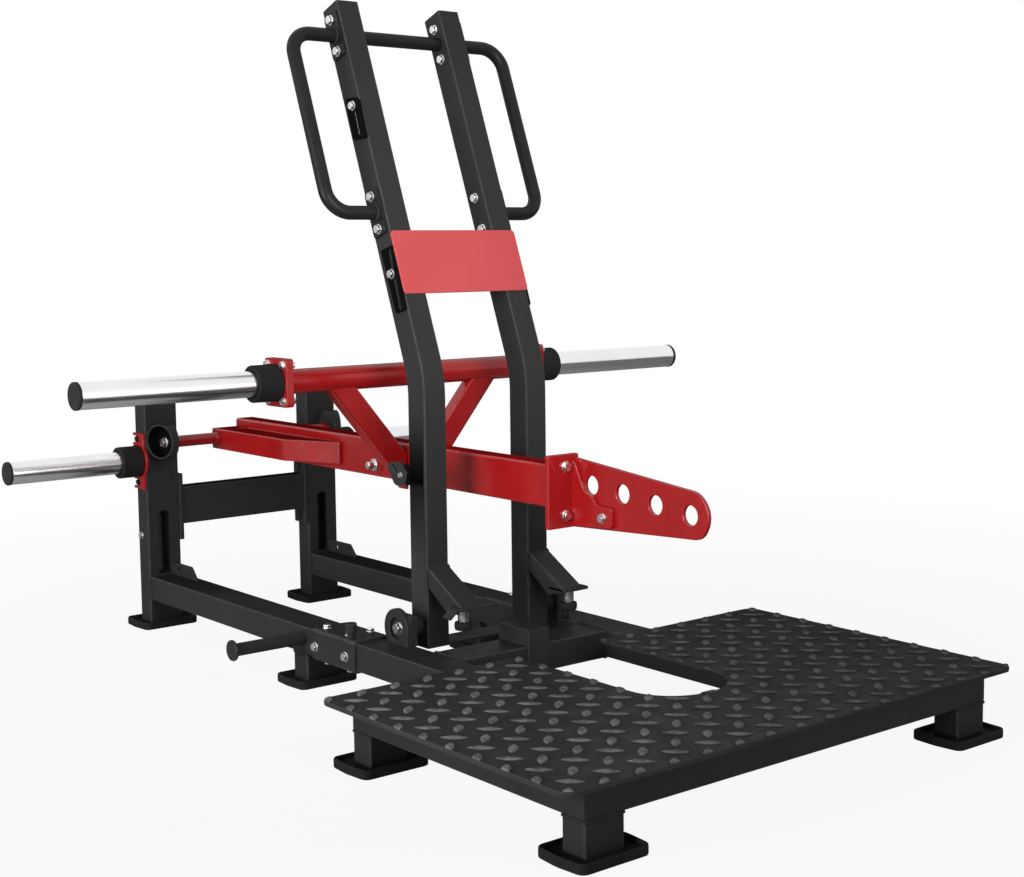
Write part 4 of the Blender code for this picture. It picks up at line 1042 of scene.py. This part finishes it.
def strap_and_disc():
    """A storage flange's outline: a strap that swells into a disc, with two round-ended notches at the rear.

    The disc leaves the strap's edge at the angle asin(half the strap / the disc's radius) off the upright.
    """
    half, disc, high, notch = 0.025, 0.0395, 0.064, 0.0078
    off = math.degrees(math.asin(half / disc))
    front, back = STORE_Y - half, STORE_Y + half
    rear = []
    for sign in (-1, 1):
        middle = STORE_Z + sign * STORE_NOTCH
        rear.append([(back, middle - notch)])
        rear.append(arc((back - 0.030 + notch, middle), notch, -90, -270, 10))
        rear.append([(back, middle + notch)])
    low = [(front, STORE_Z - high), (back, STORE_Z - high)]
    top = [(back, STORE_Z + high), (front, STORE_Z + high)]
    swell = arc((STORE_Y, STORE_Z), disc, -90 + off, 90 - off, 18)
    front_swell = arc((STORE_Y, STORE_Z), disc, 90 + off, 270 - off, 18)
    return np.concatenate((low, *rear[:3], swell, *rear[3:], top, front_swell))


add_pair("storage_flange", "_coated", plate(strap_and_disc(), "x", STORE_IN, 0.2598, 0.0008), BASE, RED)
heads = bolts([(STORE_IN, STORE_Y + 0.0135, STORE_Z + dz) for dz in (-STORE_NOTCH, STORE_NOTCH)], "x", 1,
              0.0105)
add_pair("storage_flange_bolts", "", heads, BASE, BLACK, False)
add_horns("storage_horn", 0.2601, 0.3100, 0.5710, STORE_Y, STORE_Z, BASE)
tell("storage horns")

# %% [markdown]
# The handle frame tilts on pins in two blocks, welded to the rails. Each block is a short bar with a round
# disc on its outer face, and a recess in the disc holds the pin's head.

# %% Hinge blocks
HINGE_Y, HINGE_Z, BLOCK_LOW = 0.842, 0.149, HIGH + GAP
outline = np.concatenate(([(HINGE_Y - 0.036, BLOCK_LOW), (HINGE_Y - 0.0375, HINGE_Z - 0.002)],
                          arc((HINGE_Y, HINGE_Z), 0.0385, 170, -35, 40), [(HINGE_Y + 0.024, BLOCK_LOW)]))
block = box_tube((0.175, 0.806, BLOCK_LOW), (0.1905, 0.866, 0.1765), "x", 0.002)
disc = plate(outline, "x", 0.1895, 0.1925, 0.0006)
rim = plate(outline, "x", 0.1915, 0.200, 0.0012, [circle((HINGE_Y, HINGE_Z), 0.0215, 40)])
pin = lathe([(0.0985, 0.0080, 0), (0.1480, 0.0080, 0.0005), (0.1485, 0.0190, 0.001), (0.1790, 0.0190, 0)],
            (0, HINGE_Y, HINGE_Z), "x", 32)
add_pair("hinge_block", "_coated", merge(block, disc, rim, pin), BASE, BLACK)
add_pair("hinge_bolt", "", bolts([(0.1925, HINGE_Y, HINGE_Z)], "x", 1, 0.019), BASE, ZINC, False)
tell("hinge blocks")

# %% [markdown]
# The lever arm is the red part. Its beam is rectangular tube, and two fork legs spread from it to the
# pivots. A fork leg is a plate's outline as thick as the tube, because it bends only in one plane.

# %% Lever arm
CROSS_Y, CROSS_Z = 1.061, 0.609
BEAM_SIDE, FORK_LOW, FORK_HIGH = 0.0238, 0.403, 0.450
add_piece("arm_beam_coated", node_tube("arm_beam", "y", 0.0045), ARM, RED, ["arm_beam"])
outline, _ = rounded([(BEAM_SIDE, 1.6975, 0.0005), (0.045, 1.6975, 0.0005), (0.045, 1.447, 0.012),
                      (BEAM_SIDE, 1.380, 0.0005), (BEAM_SIDE, 1.290, 0.0005), (0.0318, 1.290, 0.0034),
                      (0.090, 1.4245, 0.020), (0.090, 1.7465, 0.003), (BEAM_SIDE, 1.7465, 0.0005)])
fork = plate(outline, "z", FORK_LOW, FORK_HIGH, 0.0028, steps=4)
shaft = lathe([(0.070, 0.0145, 0.001), (0.0940, 0.0145, 0.001), (0.1000, 0.0130, 0.001),
               (0.2062, 0.0130, 0.0010), (0.2065, 0.0070, 0.0002), (0.2165, 0.0070, 0.0010)],
              (0, PIVOT_Y, PIVOT_Z), "x", 36)
add_pair("fork_leg", "_coated", merge(fork, shaft), ARM, RED)
tell("beam and fork")


# %% [markdown]
# A V of struts lifts the cross tube that carries the loading horns. Two square flanges meet at each end of
# the tube, the inner one welded on and the outer one part of the horn, with four bolts through both. One
# function draws all four flanges, and the bolt heads and nuts stand on the same four places.

# %% Struts and cross tube
FLANGE_IN, FLANGE_MID, FLANGE_OUT = 0.3005, 0.3085, 0.3165


def strut():
    """A flat bar up the slope from the beam to the cross tube, as a plate seen from the front."""
    slope, top, out, along = 1.196, 0.600, 0.2133, 0.1513
    outline, _ = rounded([(BEAM_SIDE, top - (out - BEAM_SIDE) * slope, 0.0005), (out, top, 0.002),
                          (along, top, 0.002), (BEAM_SIDE, top - (along - BEAM_SIDE) * slope, 0.0005)])
    return plate(outline, "y", CROSS_Y - 0.015, CROSS_Y + 0.015, 0.0030, steps=4)


def flange(low, high):
    """A flat plate with round corners about the cross tube, between two places along X."""
    y, z, a, b, radius = CROSS_Y, CROSS_Z, 0.040, 0.0465, 0.007
    outline, _ = rounded([(y - a, z - b, radius), (y + a, z - b, radius), (y + a, z + b, radius),
                          (y - a, z + b, radius)])
    return plate(outline, "x", low, high, 0.0007)


add_pair("arm_strut", "_coated", strut(), ARM, RED)
tube = lathe([(-0.301, 0.0240, 0), (0.301, 0.0240, 0)], (0, CROSS_Y, CROSS_Z), "x", 56)
inner_flanges = [mirrored(flange(FLANGE_IN, FLANGE_MID), side) for _, side in SIDES]
add_piece("cross_tube_coated", merge(tube, *inner_flanges), ARM, RED, ["cross_tube"])
add_pair("horn_flange", "_coated", flange(FLANGE_MID + GAP, FLANGE_OUT), ARM, RED)
corners = [(CROSS_Y + dy, CROSS_Z + dz) for dy in (-0.029, 0.029) for dz in (-0.0345, 0.0345)]
heads = bolts([(FLANGE_OUT, *c) for c in corners], "x", 1, 0.013)
tails = bolts([(FLANGE_IN, *c) for c in corners], "x", -1, 0.013)
add_pair("horn_flange_bolts", "", merge(heads, tails), ARM, ZINC, False)
add_horns("loading_horn", FLANGE_OUT + GAP, 0.3690, 0.7250, CROSS_Y, CROSS_Z, ARM)
tell("struts, cross tube and loading horns")

# %% [markdown]
# A drilled fin stands at the front of the arm. It is thick plate, cut by a laser, with four round holes. The
# holes are given with its outline, and triangles fill the flat between them, so no Boolean is needed. A small
# bracket stiffens it against the end plate.

# %% Fin, bracket and end plate
FIN_ROOT, BRACKET_SIDE = 0.5917, 0.0217
add_piece("arm_end_plate_coated", node_tube("arm_end_plate", "y", 0.0030, 0.0012), ARM, RED,
          ["arm_end_plate"])
outline, _ = rounded([(FIN_ROOT, 0.349, 0.0005), (FIN_ROOT, 0.478, 0.006), (0.271, 0.447, 0.040),
                      (0.238, 0.412, 0.040), (0.262, 0.366, 0.030)], 8)
holes = [circle(c, 0.0175, 48) for c in ((0.543, 0.431), (0.460, 0.424), (0.376, 0.414), (0.290, 0.406))]
add_piece("arm_fin_coated", plate(outline, "x", 0.030, 0.038, 0.0012, holes), ARM, RED, ["arm_fin"])
outline, _ = rounded([(FIN_ROOT, 0.351, 0.0005), (FIN_ROOT, 0.474, 0.004), (0.580, 0.470, 0.006),
                      (0.554, 0.418, 0.015), (0.532, 0.412, 0.012), (0.520, 0.397, 0.010),
                      (0.480, 0.396, 0.006), (0.480, 0.360, 0.006)])
add_piece("fin_bracket_coated", plate(outline, "x", BRACKET_SIDE, 0.0297, 0.0010), ARM, RED, ["fin_bracket"])
front_heads = bolts([(0.011, 0.592, 0.462), (0.011, 0.592, 0.372)], "y", -1, 0.016)
side_heads = bolts([(BRACKET_SIDE, 0.504, 0.376)], "x", -1, 0.014)
add_piece("arm_front_bolts", merge(front_heads, side_heads), ARM, ZINC)
pin = lathe([(-BEAM_SIDE, 0.0130, 0.001), (-0.0400, 0.0130, 0.0015), (-0.0400, 0.0080, 0.0005),
             (-0.0550, 0.0080, 0.0015)], (0, 1.148, 0.416), "x", 32)
add_piece("arm_latch_pin_plated", pin, ARM, ZINC, ["arm_latch_pin"])
tell("fin, bracket and end plate")

# %% [markdown]
# The handle frame leans back above a bend in its posts. Each post is one square tube carried along a bent
# line: straight up, a fifth-of-a-metre arc, and straight again along the lean. A thin plate under the posts
# ties their feet together.

# %% Posts
LEAN, BEND_Z, BEND_RADIUS = math.radians(20.63), 0.618, 0.20
POST_Y, POST_LOW, POST_TOP_Z = 0.838, 0.1135, 1.335
POST_IN, POST_OUT = 0.0975, 0.1475
NOTCH_FRONT, NOTCH_BACK, NOTCH_LOW, NOTCH_HIGH = 0.8185, 0.868, 0.4175, 0.4275


def lean_point(along, out):
    """Y and z that far above the bend along the lean, and that far forward of the posts' centre line."""
    return (POST_Y + along * math.sin(LEAN) - out * math.cos(LEAN),
            BEND_Z + along * math.cos(LEAN) + out * math.sin(LEAN))


def post_line():
    """Centre line of a post in Y and z: a straight run, an arc of the bend's radius, and the lean."""
    low_z = BEND_Z - BEND_RADIUS * math.tan(LEAN / 2)
    t = np.linspace(0, LEAN, 12)
    bend = np.column_stack((POST_Y + BEND_RADIUS * (1 - np.cos(t)), low_z + BEND_RADIUS * np.sin(t)))
    y, z = lean_point((POST_TOP_Z - BEND_Z) / math.cos(LEAN), 0)
    ends = np.array([(POST_Y, POST_LOW), (POST_Y, low_z - 0.001)])
    return np.concatenate((ends, bend, [(y - 0.001 * math.sin(LEAN), z - 0.001 * math.cos(LEAN)), (y, z)]))


line = post_line()
square, square_worn = section(0.050, 0.054, 0.0030)
for side_name, side in SIDES:
    path = np.column_stack((np.full(len(line), side * (POST_IN + POST_OUT) / 2), line))
    tube = carry(path, square, square_worn, (1, 0, 0), 0.0015)
    post = add_piece(f"post_{side_name}_coated", tube, HANDLES, BLACK, [f"post_{side_name}"])
    if side < 0:
        notch, _ = rounded([(NOTCH_FRONT, NOTCH_LOW, 0.0004), (NOTCH_BACK, NOTCH_LOW, 0.0004),
                            (NOTCH_BACK, NOTCH_HIGH, 0.0004), (NOTCH_FRONT, NOTCH_HIGH, 0.0004)], 2,
                           guard=0.0002)
        cut(post, plate(notch, "x", -POST_OUT - 0.004, -POST_OUT + 0.020, 0.0003))
tie = box_tube((-POST_OUT, 0.811, 0.107), (POST_OUT, 0.865, 0.1132), "x", 0.001, 0.0006)
add_piece("post_tie_plate_coated", tie, HANDLES, BLACK, ["post_tie_plate"])
tell("posts")


# %% [markdown]
# Each post has a slotted plate on its outer face. The left one also has the upper hook plate, with a bright
# strip in its slot, and lower down the latch plate with a bolt. They are cut plate with broken edges, and a
# slot is two half circles joined by straight sides.

# %% Hook and latch plates
def slot_between(a, b, radius, steps=14):
    """A long hole with round ends between two points: half circles about both."""
    angle = math.degrees(math.atan2(b[1] - a[1], b[0] - a[0]))
    return np.concatenate((arc(a, radius, angle + 90, angle + 270, steps),
                           arc(b, radius, angle + 270, angle + 450, steps)))


lower, _ = rounded([(0.8931, 0.7395, 0.004), (0.8590, 0.7480, 0.004), (0.9030, 0.8685, 0.004),
                    (0.9400, 0.8580, 0.004)], 4)
lower = plate(lower, "x", POST_OUT, POST_OUT + 0.004, 0.0008,
              [slot_between((0.8815, 0.7520), (0.9130, 0.8560), 0.0065)])
add_pair("post_plate", "", lower, HANDLES, HOOK_AND_SHADE, False)
lower_bolt = bolts([(POST_OUT + 0.004, 0.9036, 0.8140)], "x", 1, 0.0145)
add_pair("post_plate_bolt", "", lower_bolt, HANDLES, ZINC, False)
upper, _ = rounded([(0.9808, 1.0735, 0.003), (1.0045, 1.1480, 0.002), (1.0095, 1.1480, 0.0013),
                    (1.0115, 1.1515, 0.0013), (1.0465, 1.1515, 0.0013), (1.0485, 1.1480, 0.0013),
                    (1.0250, 1.0715, 0.004)], 3, guard=0.0002)
upper = plate(upper, "x", -POST_OUT - 0.006, -POST_OUT, 0.001,
              [slot_between((1.0045, 1.0820), (1.0190, 1.1240), 0.0042)])
latch, _ = rounded([(0.876, 0.4365, 0.003), (0.898, 0.4560, 0.004), (0.931, 0.4525, 0.003),
                    (0.9420, 0.4450, 0.003), (0.9200, 0.4130, 0.003), (0.9100, 0.4085, 0.003),
                    (0.8844, 0.4125, 0.003)], 4)
latch = plate(latch, "x", -POST_OUT + 0.002, -POST_OUT + 0.010, 0.001,
              [slot_between((0.9225, 0.4480), (0.9110, 0.4370), 0.0022)])
carrier = box_tube((-POST_OUT + 0.006, 0.860, 0.4130), (-POST_OUT + 0.016, 0.905, 0.4500), "x", 0.002)
add_piece("post_upper_hook", upper, HANDLES, HOOK_AND_SHADE)
add_piece("post_latch_plate", latch, HANDLES, BLACK)
add_piece("post_latch_carrier", carrier, HANDLES, HOOK_AND_SHADE)
tilt = math.atan2(0.0420, 0.0145)
turn_up = np.array(((math.cos(tilt), math.sin(tilt)), (-math.sin(tilt), math.cos(tilt))))
points, *faces = box_tube((-POST_OUT - 0.0026, -0.0260, -0.0022), (-POST_OUT - 0.0012, 0.0260, 0.0022), "y",
                          0.0003, 0.0003)
points = np.column_stack((points[:, 0], points[:, 1:] @ turn_up + (1.0150, 1.1020)))
add_piece("post_upper_strip", (points, *faces), HANDLES, ZINC)
upper_bolts = merge(bolts([(-POST_OUT - 0.006, 1.0225, 1.1360)], "x", -1, 0.014),
                    bolts([(-POST_OUT + 0.002, 0.8950, 0.4305)], "x", -1, 0.0085))
add_piece("post_upper_bolts", upper_bolts, HANDLES, ZINC)
tell("hook and latch plates")

# %% [markdown]
# Braces run from the posts to small foot plates. Under each plate a hexagon stud holds a rubber bumper, and
# the bumpers land on the crossmember when the frame tips forward. The left plate reaches further in, and has
# a small lip. A stud is a plate with six corners, and a bumper a short profile on the lathe.

# %% Braces and bumpers
PLATE_LOW, BUMPER_X, BUMPER_Y = 0.198, 0.1285, 0.725
PLATE_FRONT, PLATE_BACK, PLATE_OUT = 0.698, 0.752, 0.158
brace_outline, _ = rounded([(0.8107, 0.2640, 0.0005), (0.8107, 0.2250, 0.0005), (0.7505, 0.1852, 0.002),
                            (0.7050, 0.1960, 0.002), (0.7005, 0.2011, 0.001)])
brace = plate(brace_outline, "x", POST_IN, POST_OUT, 0.004, steps=4)
bumper = lathe([(0.1572, 0.0158, 0.003), (0.1645, 0.0168, 0.008), (0.1720, 0.0162, 0.0015)],
               (BUMPER_X, BUMPER_Y, 0), "z", 40)
for side_name, side in SIDES:
    inner_edge = 0.066 if side < 0 else POST_IN
    foot, _ = rounded([(inner_edge, PLATE_FRONT, 0.004), (PLATE_OUT, PLATE_FRONT, 0.004),
                       (PLATE_OUT, 0.722, 0.004), (0.1465, 0.735, 0.004), (0.1465, PLATE_BACK, 0.004),
                       (inner_edge, PLATE_BACK, 0.004)])
    foot = plate(foot, "z", PLATE_LOW, PLATE_LOW + 0.006, 0.0012)
    add_piece(f"brace_{side_name}_coated", mirrored(merge(brace, foot), side), HANDLES, BLACK,
              [f"brace_{side_name}"])
    stud = circle((side * BUMPER_X, BUMPER_Y), 0.0104, 6, 12)
    stud = plate(stud, "z", 0.1723, PLATE_LOW - 0.0002, 0.0006)
    add_piece(f"bumper_stud_{side_name}", stud, HANDLES, ZINC)
add_pair("bumper", "_moulded", bumper, HANDLES, RUBBER)
lip, _ = rounded([(-0.156, 0.1985, 0.001), (-0.156, 0.2035, 0.001), (-0.163, 0.2035, 0.001),
                  (-0.1795, 0.1890, 0.001), (-0.1760, 0.1850, 0.001), (-0.1600, 0.1985, 0.001)], 3)
add_piece("brace_left_lip", plate(lip, "y", 0.6990, 0.7210, 0.0006), HANDLES, BLACK)
tell("braces and bumpers")

# %% [markdown]
# The handles are loops of round bar in the plane of the lean, each ending in two plates bolted through the
# post. A curve with a round bevel could make the bar. Carrying a ring along the same line as arrays gives
# the mesh at once. A bar of the same size ties the posts together near the top.

# %% Handle loops
LOOP_RADIUS, LOOP_OUT, LOOP_BEND = 0.0134, 0.253, 0.045
TOP_ALONG = (1.275 - BEND_Z) / math.cos(LEAN)
LOW_ALONG = (0.930 - BEND_Z) / math.cos(LEAN)
LEAN_UP = np.array((0.0, -math.cos(LEAN), math.sin(LEAN)))


def loop_path():
    """The loop's centre line: out from the post, a quarter turn, down the lean, a quarter turn, and back."""
    t = np.linspace(0, np.pi / 2, 14)
    more, less = LOOP_BEND * (1 - np.sin(t)), LOOP_BEND * (1 - np.cos(t))
    flat = np.concatenate(([(POST_OUT + 0.002, TOP_ALONG), (0.200, TOP_ALONG)],
                           np.column_stack((LOOP_OUT - more, TOP_ALONG - less)),
                           np.column_stack((LOOP_OUT - less, LOW_ALONG + more)),
                           [(0.200, LOW_ALONG), (POST_OUT + 0.002, LOW_ALONG)]))
    y, z = lean_point(flat[:, 1], 0)
    return np.column_stack((flat[:, 0], y, z))


bar = carry(loop_path(), circle((0, 0), LOOP_RADIUS, 28), np.zeros(28), LEAN_UP)
plates = []
for along in (TOP_ALONG, LOW_ALONG):
    outline, _ = rounded([(*lean_point(along + a, b), 0.006) for a, b in
                          ((-0.046, -0.022), (-0.046, 0.022), (0.046, 0.022), (0.046, -0.022))], 4)
    plates.append(plate(outline, "x", POST_OUT + GAP, POST_OUT + 0.0045, 0.0008))
add_pair("handle_loop", "_coated", merge(bar, *plates), HANDLES, BAR)
places = [lean_point(along + a, 0) for along in (TOP_ALONG, LOW_ALONG) for a in (-0.033, 0.033)]
outer = bolts([(POST_OUT + 0.0045, *p) for p in places], "x", 1, 0.015)
inner = bolts([(POST_IN, *p) for p in places], "x", -1, 0.015)
add_pair("handle_bolts", "", merge(outer, inner), HANDLES, ZINC, False)
tie = lathe([(-0.0972, LOOP_RADIUS, 0), (0.0972, LOOP_RADIUS, 0)], (0, *lean_point(TOP_ALONG, 0)), "x", 28)
add_piece("handle_tie_bar_coated", tie, HANDLES, BAR, ["handle_tie_bar"])
tell("handle loops")

# %% [markdown]
# The red panel across the posts is a bare 4 mm sheet with round corners, a shade lighter than the arm, partly
# through painted sheen in its colour. It is a flat plate first, and is then laid back along the lean.


# %% Front panel
def front_panel():
    """A plate in X and along the lean, moved point by point to the posts' front faces."""
    half, low, high = 0.149, 0.159, 0.286
    outline, _ = rounded([(-half, low, 0.008), (half, low, 0.008), (half, high, 0.008),
                          (-half, high, 0.008)], 6)
    points, quads, tris, edges = plate(outline, "z", 0.0273, 0.0313, 0.0010)
    y, z = lean_point(points[:, 1], points[:, 2])
    return np.column_stack((points[:, 0], y, z)), quads, tris, edges


add_piece("front_panel_coated", front_panel(), HANDLES, PANEL_WITH_SHEEN, ["front_panel"])
tell("front panel")

# %% [markdown]
# Welds finish the steelwork: a rippled bead where each tube lands on another. The coat runs over them, so
# they share the finish of the steel beside them.

# %% Welds
base_beads = []
for _, side in SIDES:
    for x, y in feet.values():
        low, high = (side * x - FOOT_X / 2, y - FOOT_Y / 2), (side * x + FOOT_X / 2, y + FOOT_Y / 2)
        base_beads.append(seam(low, high, "z", LOW - 0.001))
    x = side * RAIL_MID
    base_beads.append(seam((x - 0.0375, LOW), (x + 0.0375, HIGH), "y", 1.756))
    base_beads.append(seam((0.667, LOW), (0.7515, HIGH), "x", side * (RAIL_IN - 0.001)))
add_piece("base_weld_beads", merge(*base_beads), BASE, BLACK, sharp=80)
arm_beads = []
for _, side in SIDES:
    ring = circle((CROSS_Y, CROSS_Z), 0.0248, 40)
    arm_beads.append(bead(stand(ring, side * 0.2993, "x"), (1, 0, 0), 0.003, closed=True))
    for level in (0.4045, 0.4485):
        run = np.linspace((side * 0.0243, 1.295, level), (side * 0.0243, 1.690, level), 30)
        arm_beads.append(bead(run, (0, 0, 1), 0.0022))
add_piece("arm_weld_beads", merge(*arm_beads), ARM, RED, sharp=80)
handle_beads = []
for _, side in SIDES:
    for along in (TOP_ALONG, LOW_ALONG):
        ring = circle(lean_point(along, 0), LOOP_RADIUS + 0.0008, 30)
        ring = stand(ring, side * (POST_OUT + 0.0055), "x")
        handle_beads.append(bead(ring, (1, 0, 0), 0.0026, closed=True))
    handle_beads.append(seam((side * POST_IN, 0.2275), (side * POST_OUT, 0.2630), "y", 0.8105))
add_piece("handle_weld_beads", merge(*handle_beads), HANDLES, BLACK, sharp=80)
tell("welds")

# %% [markdown]
# The studio is plain: a pale floor that fades to white far from the machine, and a white surround that only
# the camera and reflections see. A bright world would do too, but it would light the machine from all sides
# and wash the shadows out. So the light that the surround gives is kept low, and its white is shown by the
# kind of ray.


# %% Floor and surround
def floor_finish():
    """Pale matt floor for light and shadow, lifted to white for the camera away from the machine."""
    material = bpy.data.materials.new("studio_floor")
    material.use_nodes = True
    links = material.node_tree.links
    material.node_tree.nodes.clear()
    out = add(material, "OutputMaterial")
    matt = add(material, "BsdfDiffuse", Color=(0.86, 0.86, 0.86, 1))
    white = add(material, "Emission", Color=(1, 1, 1, 1), Strength=1.0)
    place = add(material, "TexCoord")
    length = add(material, "VectorMath", operation="LENGTH")
    links.new(place.outputs["Object"], length.inputs[0])
    far = spread(material, length.outputs["Value"], 0.9, 2.8, 0.92, 1.0)
    seen = combine(material, far, add(material, "LightPath").outputs["Is Camera Ray"])
    mix = add(material, "MixShader")
    for number, source in enumerate((seen, matt.outputs[0], white.outputs[0])):
        links.new(source, mix.inputs[number])
    links.new(mix.outputs[0], out.inputs["Surface"])
    return material


def floor():
    """A round floor, as rings of points whose radius doubles each time; only the inner fan closes it."""
    rings = np.stack([stand(circle((0, 0), 0.5 * 2 ** doubled, 64), 0, "z") for doubled in range(8)])
    points, quads, tris, edges = skin(rings, np.zeros(64), np.zeros(8))
    mesh = write_mesh("studio_floor", (points, quads, tris[:64], edges))
    mesh.materials.append(floor_finish())
    new_object("studio_floor", mesh)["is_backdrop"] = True


def surround():
    """World light: grey near the horizon, darker above, and white where the camera or a reflection looks."""
    world = bpy.data.worlds.new("studio")
    bpy.context.scene.world = world
    world.use_nodes = True
    links = world.node_tree.links
    world.node_tree.nodes.clear()
    rays = add(world, "LightPath").outputs
    seen = combine(world, rays["Is Camera Ray"], rays["Is Transmission Ray"], "MAXIMUM")
    seen = combine(world, seen, rays["Is Glossy Ray"], "MAXIMUM")
    parts = add(world, "SeparateXYZ")
    links.new(add(world, "TexCoord").outputs["Object"], parts.inputs[0])
    light = add(world, "Background", Color=(1, 1, 1, 1))
    links.new(spread(world, parts.outputs["Z"], 0.05, 0.50, 0.34, 0.06), light.inputs["Strength"])
    white = add(world, "Background", Color=(1, 1, 1, 1), Strength=1.0)
    mix = add(world, "MixShader")
    for number, source in enumerate((seen, light.outputs[0], white.outputs[0])):
        links.new(source, mix.inputs[number])
    links.new(mix.outputs[0], add(world, "OutputWorld").inputs["Surface"])


floor()
surround()
bpy.context.scene.view_settings.view_transform = "Standard"
print("floor and surround ready")


# %% [markdown]
# Three soft lamps light it: a large one on the left, a small one in front of the handles whose light is kept
# to a cone, and a low one in front of the deck. Square lamps 0.8 to 3 m across leave no hard shadow.


# %% Lamps
def lamp(name, place, target, size, power, spread_angle=180):
    """A soft square lamp at a place, turned to face a target; a small spread angle keeps it to a cone."""
    data = bpy.data.lights.new(name, "AREA")
    data.shape = "SQUARE"
    data.size = size
    data.energy = power
    data.spread = math.radians(spread_angle)
    thing = new_object(name, data)
    thing.location = place
    thing.visible_camera = False
    thing.rotation_euler = (Vector(target) - Vector(place)).to_track_quat("-Z", "Y").to_euler()


lamp("key_lamp", (-6.0, -0.6, 1.3), (0, 0, 0.6), 3.0, 290)
lamp("near_lamp", (-0.55, -1.60, 1.25), (0, 0, 0.98), 0.8, 6.2, 80)
lamp("fill_lamp", (0.5, -2.65, 0.45), (0, -0.9, 0.15), 1.2, 11)
print("lamps: 3")

# %% [markdown]
# The camera stands where the photograph was taken: low, off the left front corner of the platform. Its place
# and turn were solved from known lengths on the machine. Its focal length and centre are in pixels of the
# photograph, and the small shift is the photograph's framing.

# %% Camera
WIDE, TALL, FOCAL, CENTRE_X, CENTRE_Y = 1024, 877, 1636.9, 533.3, 416.9
camera_data = bpy.data.cameras.new("camera")
camera_data.sensor_width = 36
camera_data.lens = camera_data.sensor_width * FOCAL / WIDE
camera_data.shift_x = (WIDE / 2 - CENTRE_X) / WIDE
camera_data.shift_y = (CENTRE_Y - TALL / 2) / WIDE
camera_data.dof.use_dof = False
camera_data.clip_end = 200
camera = new_object("camera", camera_data)
right = Vector((0.77344, -0.63379, -0.01000))
up = Vector((0.07314, 0.07357, 0.99460))
back = Vector((-0.62964, -0.77000, 0.10326))
turn = Matrix((right, up, back)).transposed().to_4x4()
camera.matrix_world = Matrix.Translation((-1.9124, -2.571425, 0.8623)) @ turn
bpy.context.scene.camera = camera
print("camera lens:", round(camera_data.lens, 2), "mm")

# %% [markdown]
# Before the end we measure the box round the dressed machine.

# %% Sizes
low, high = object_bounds()
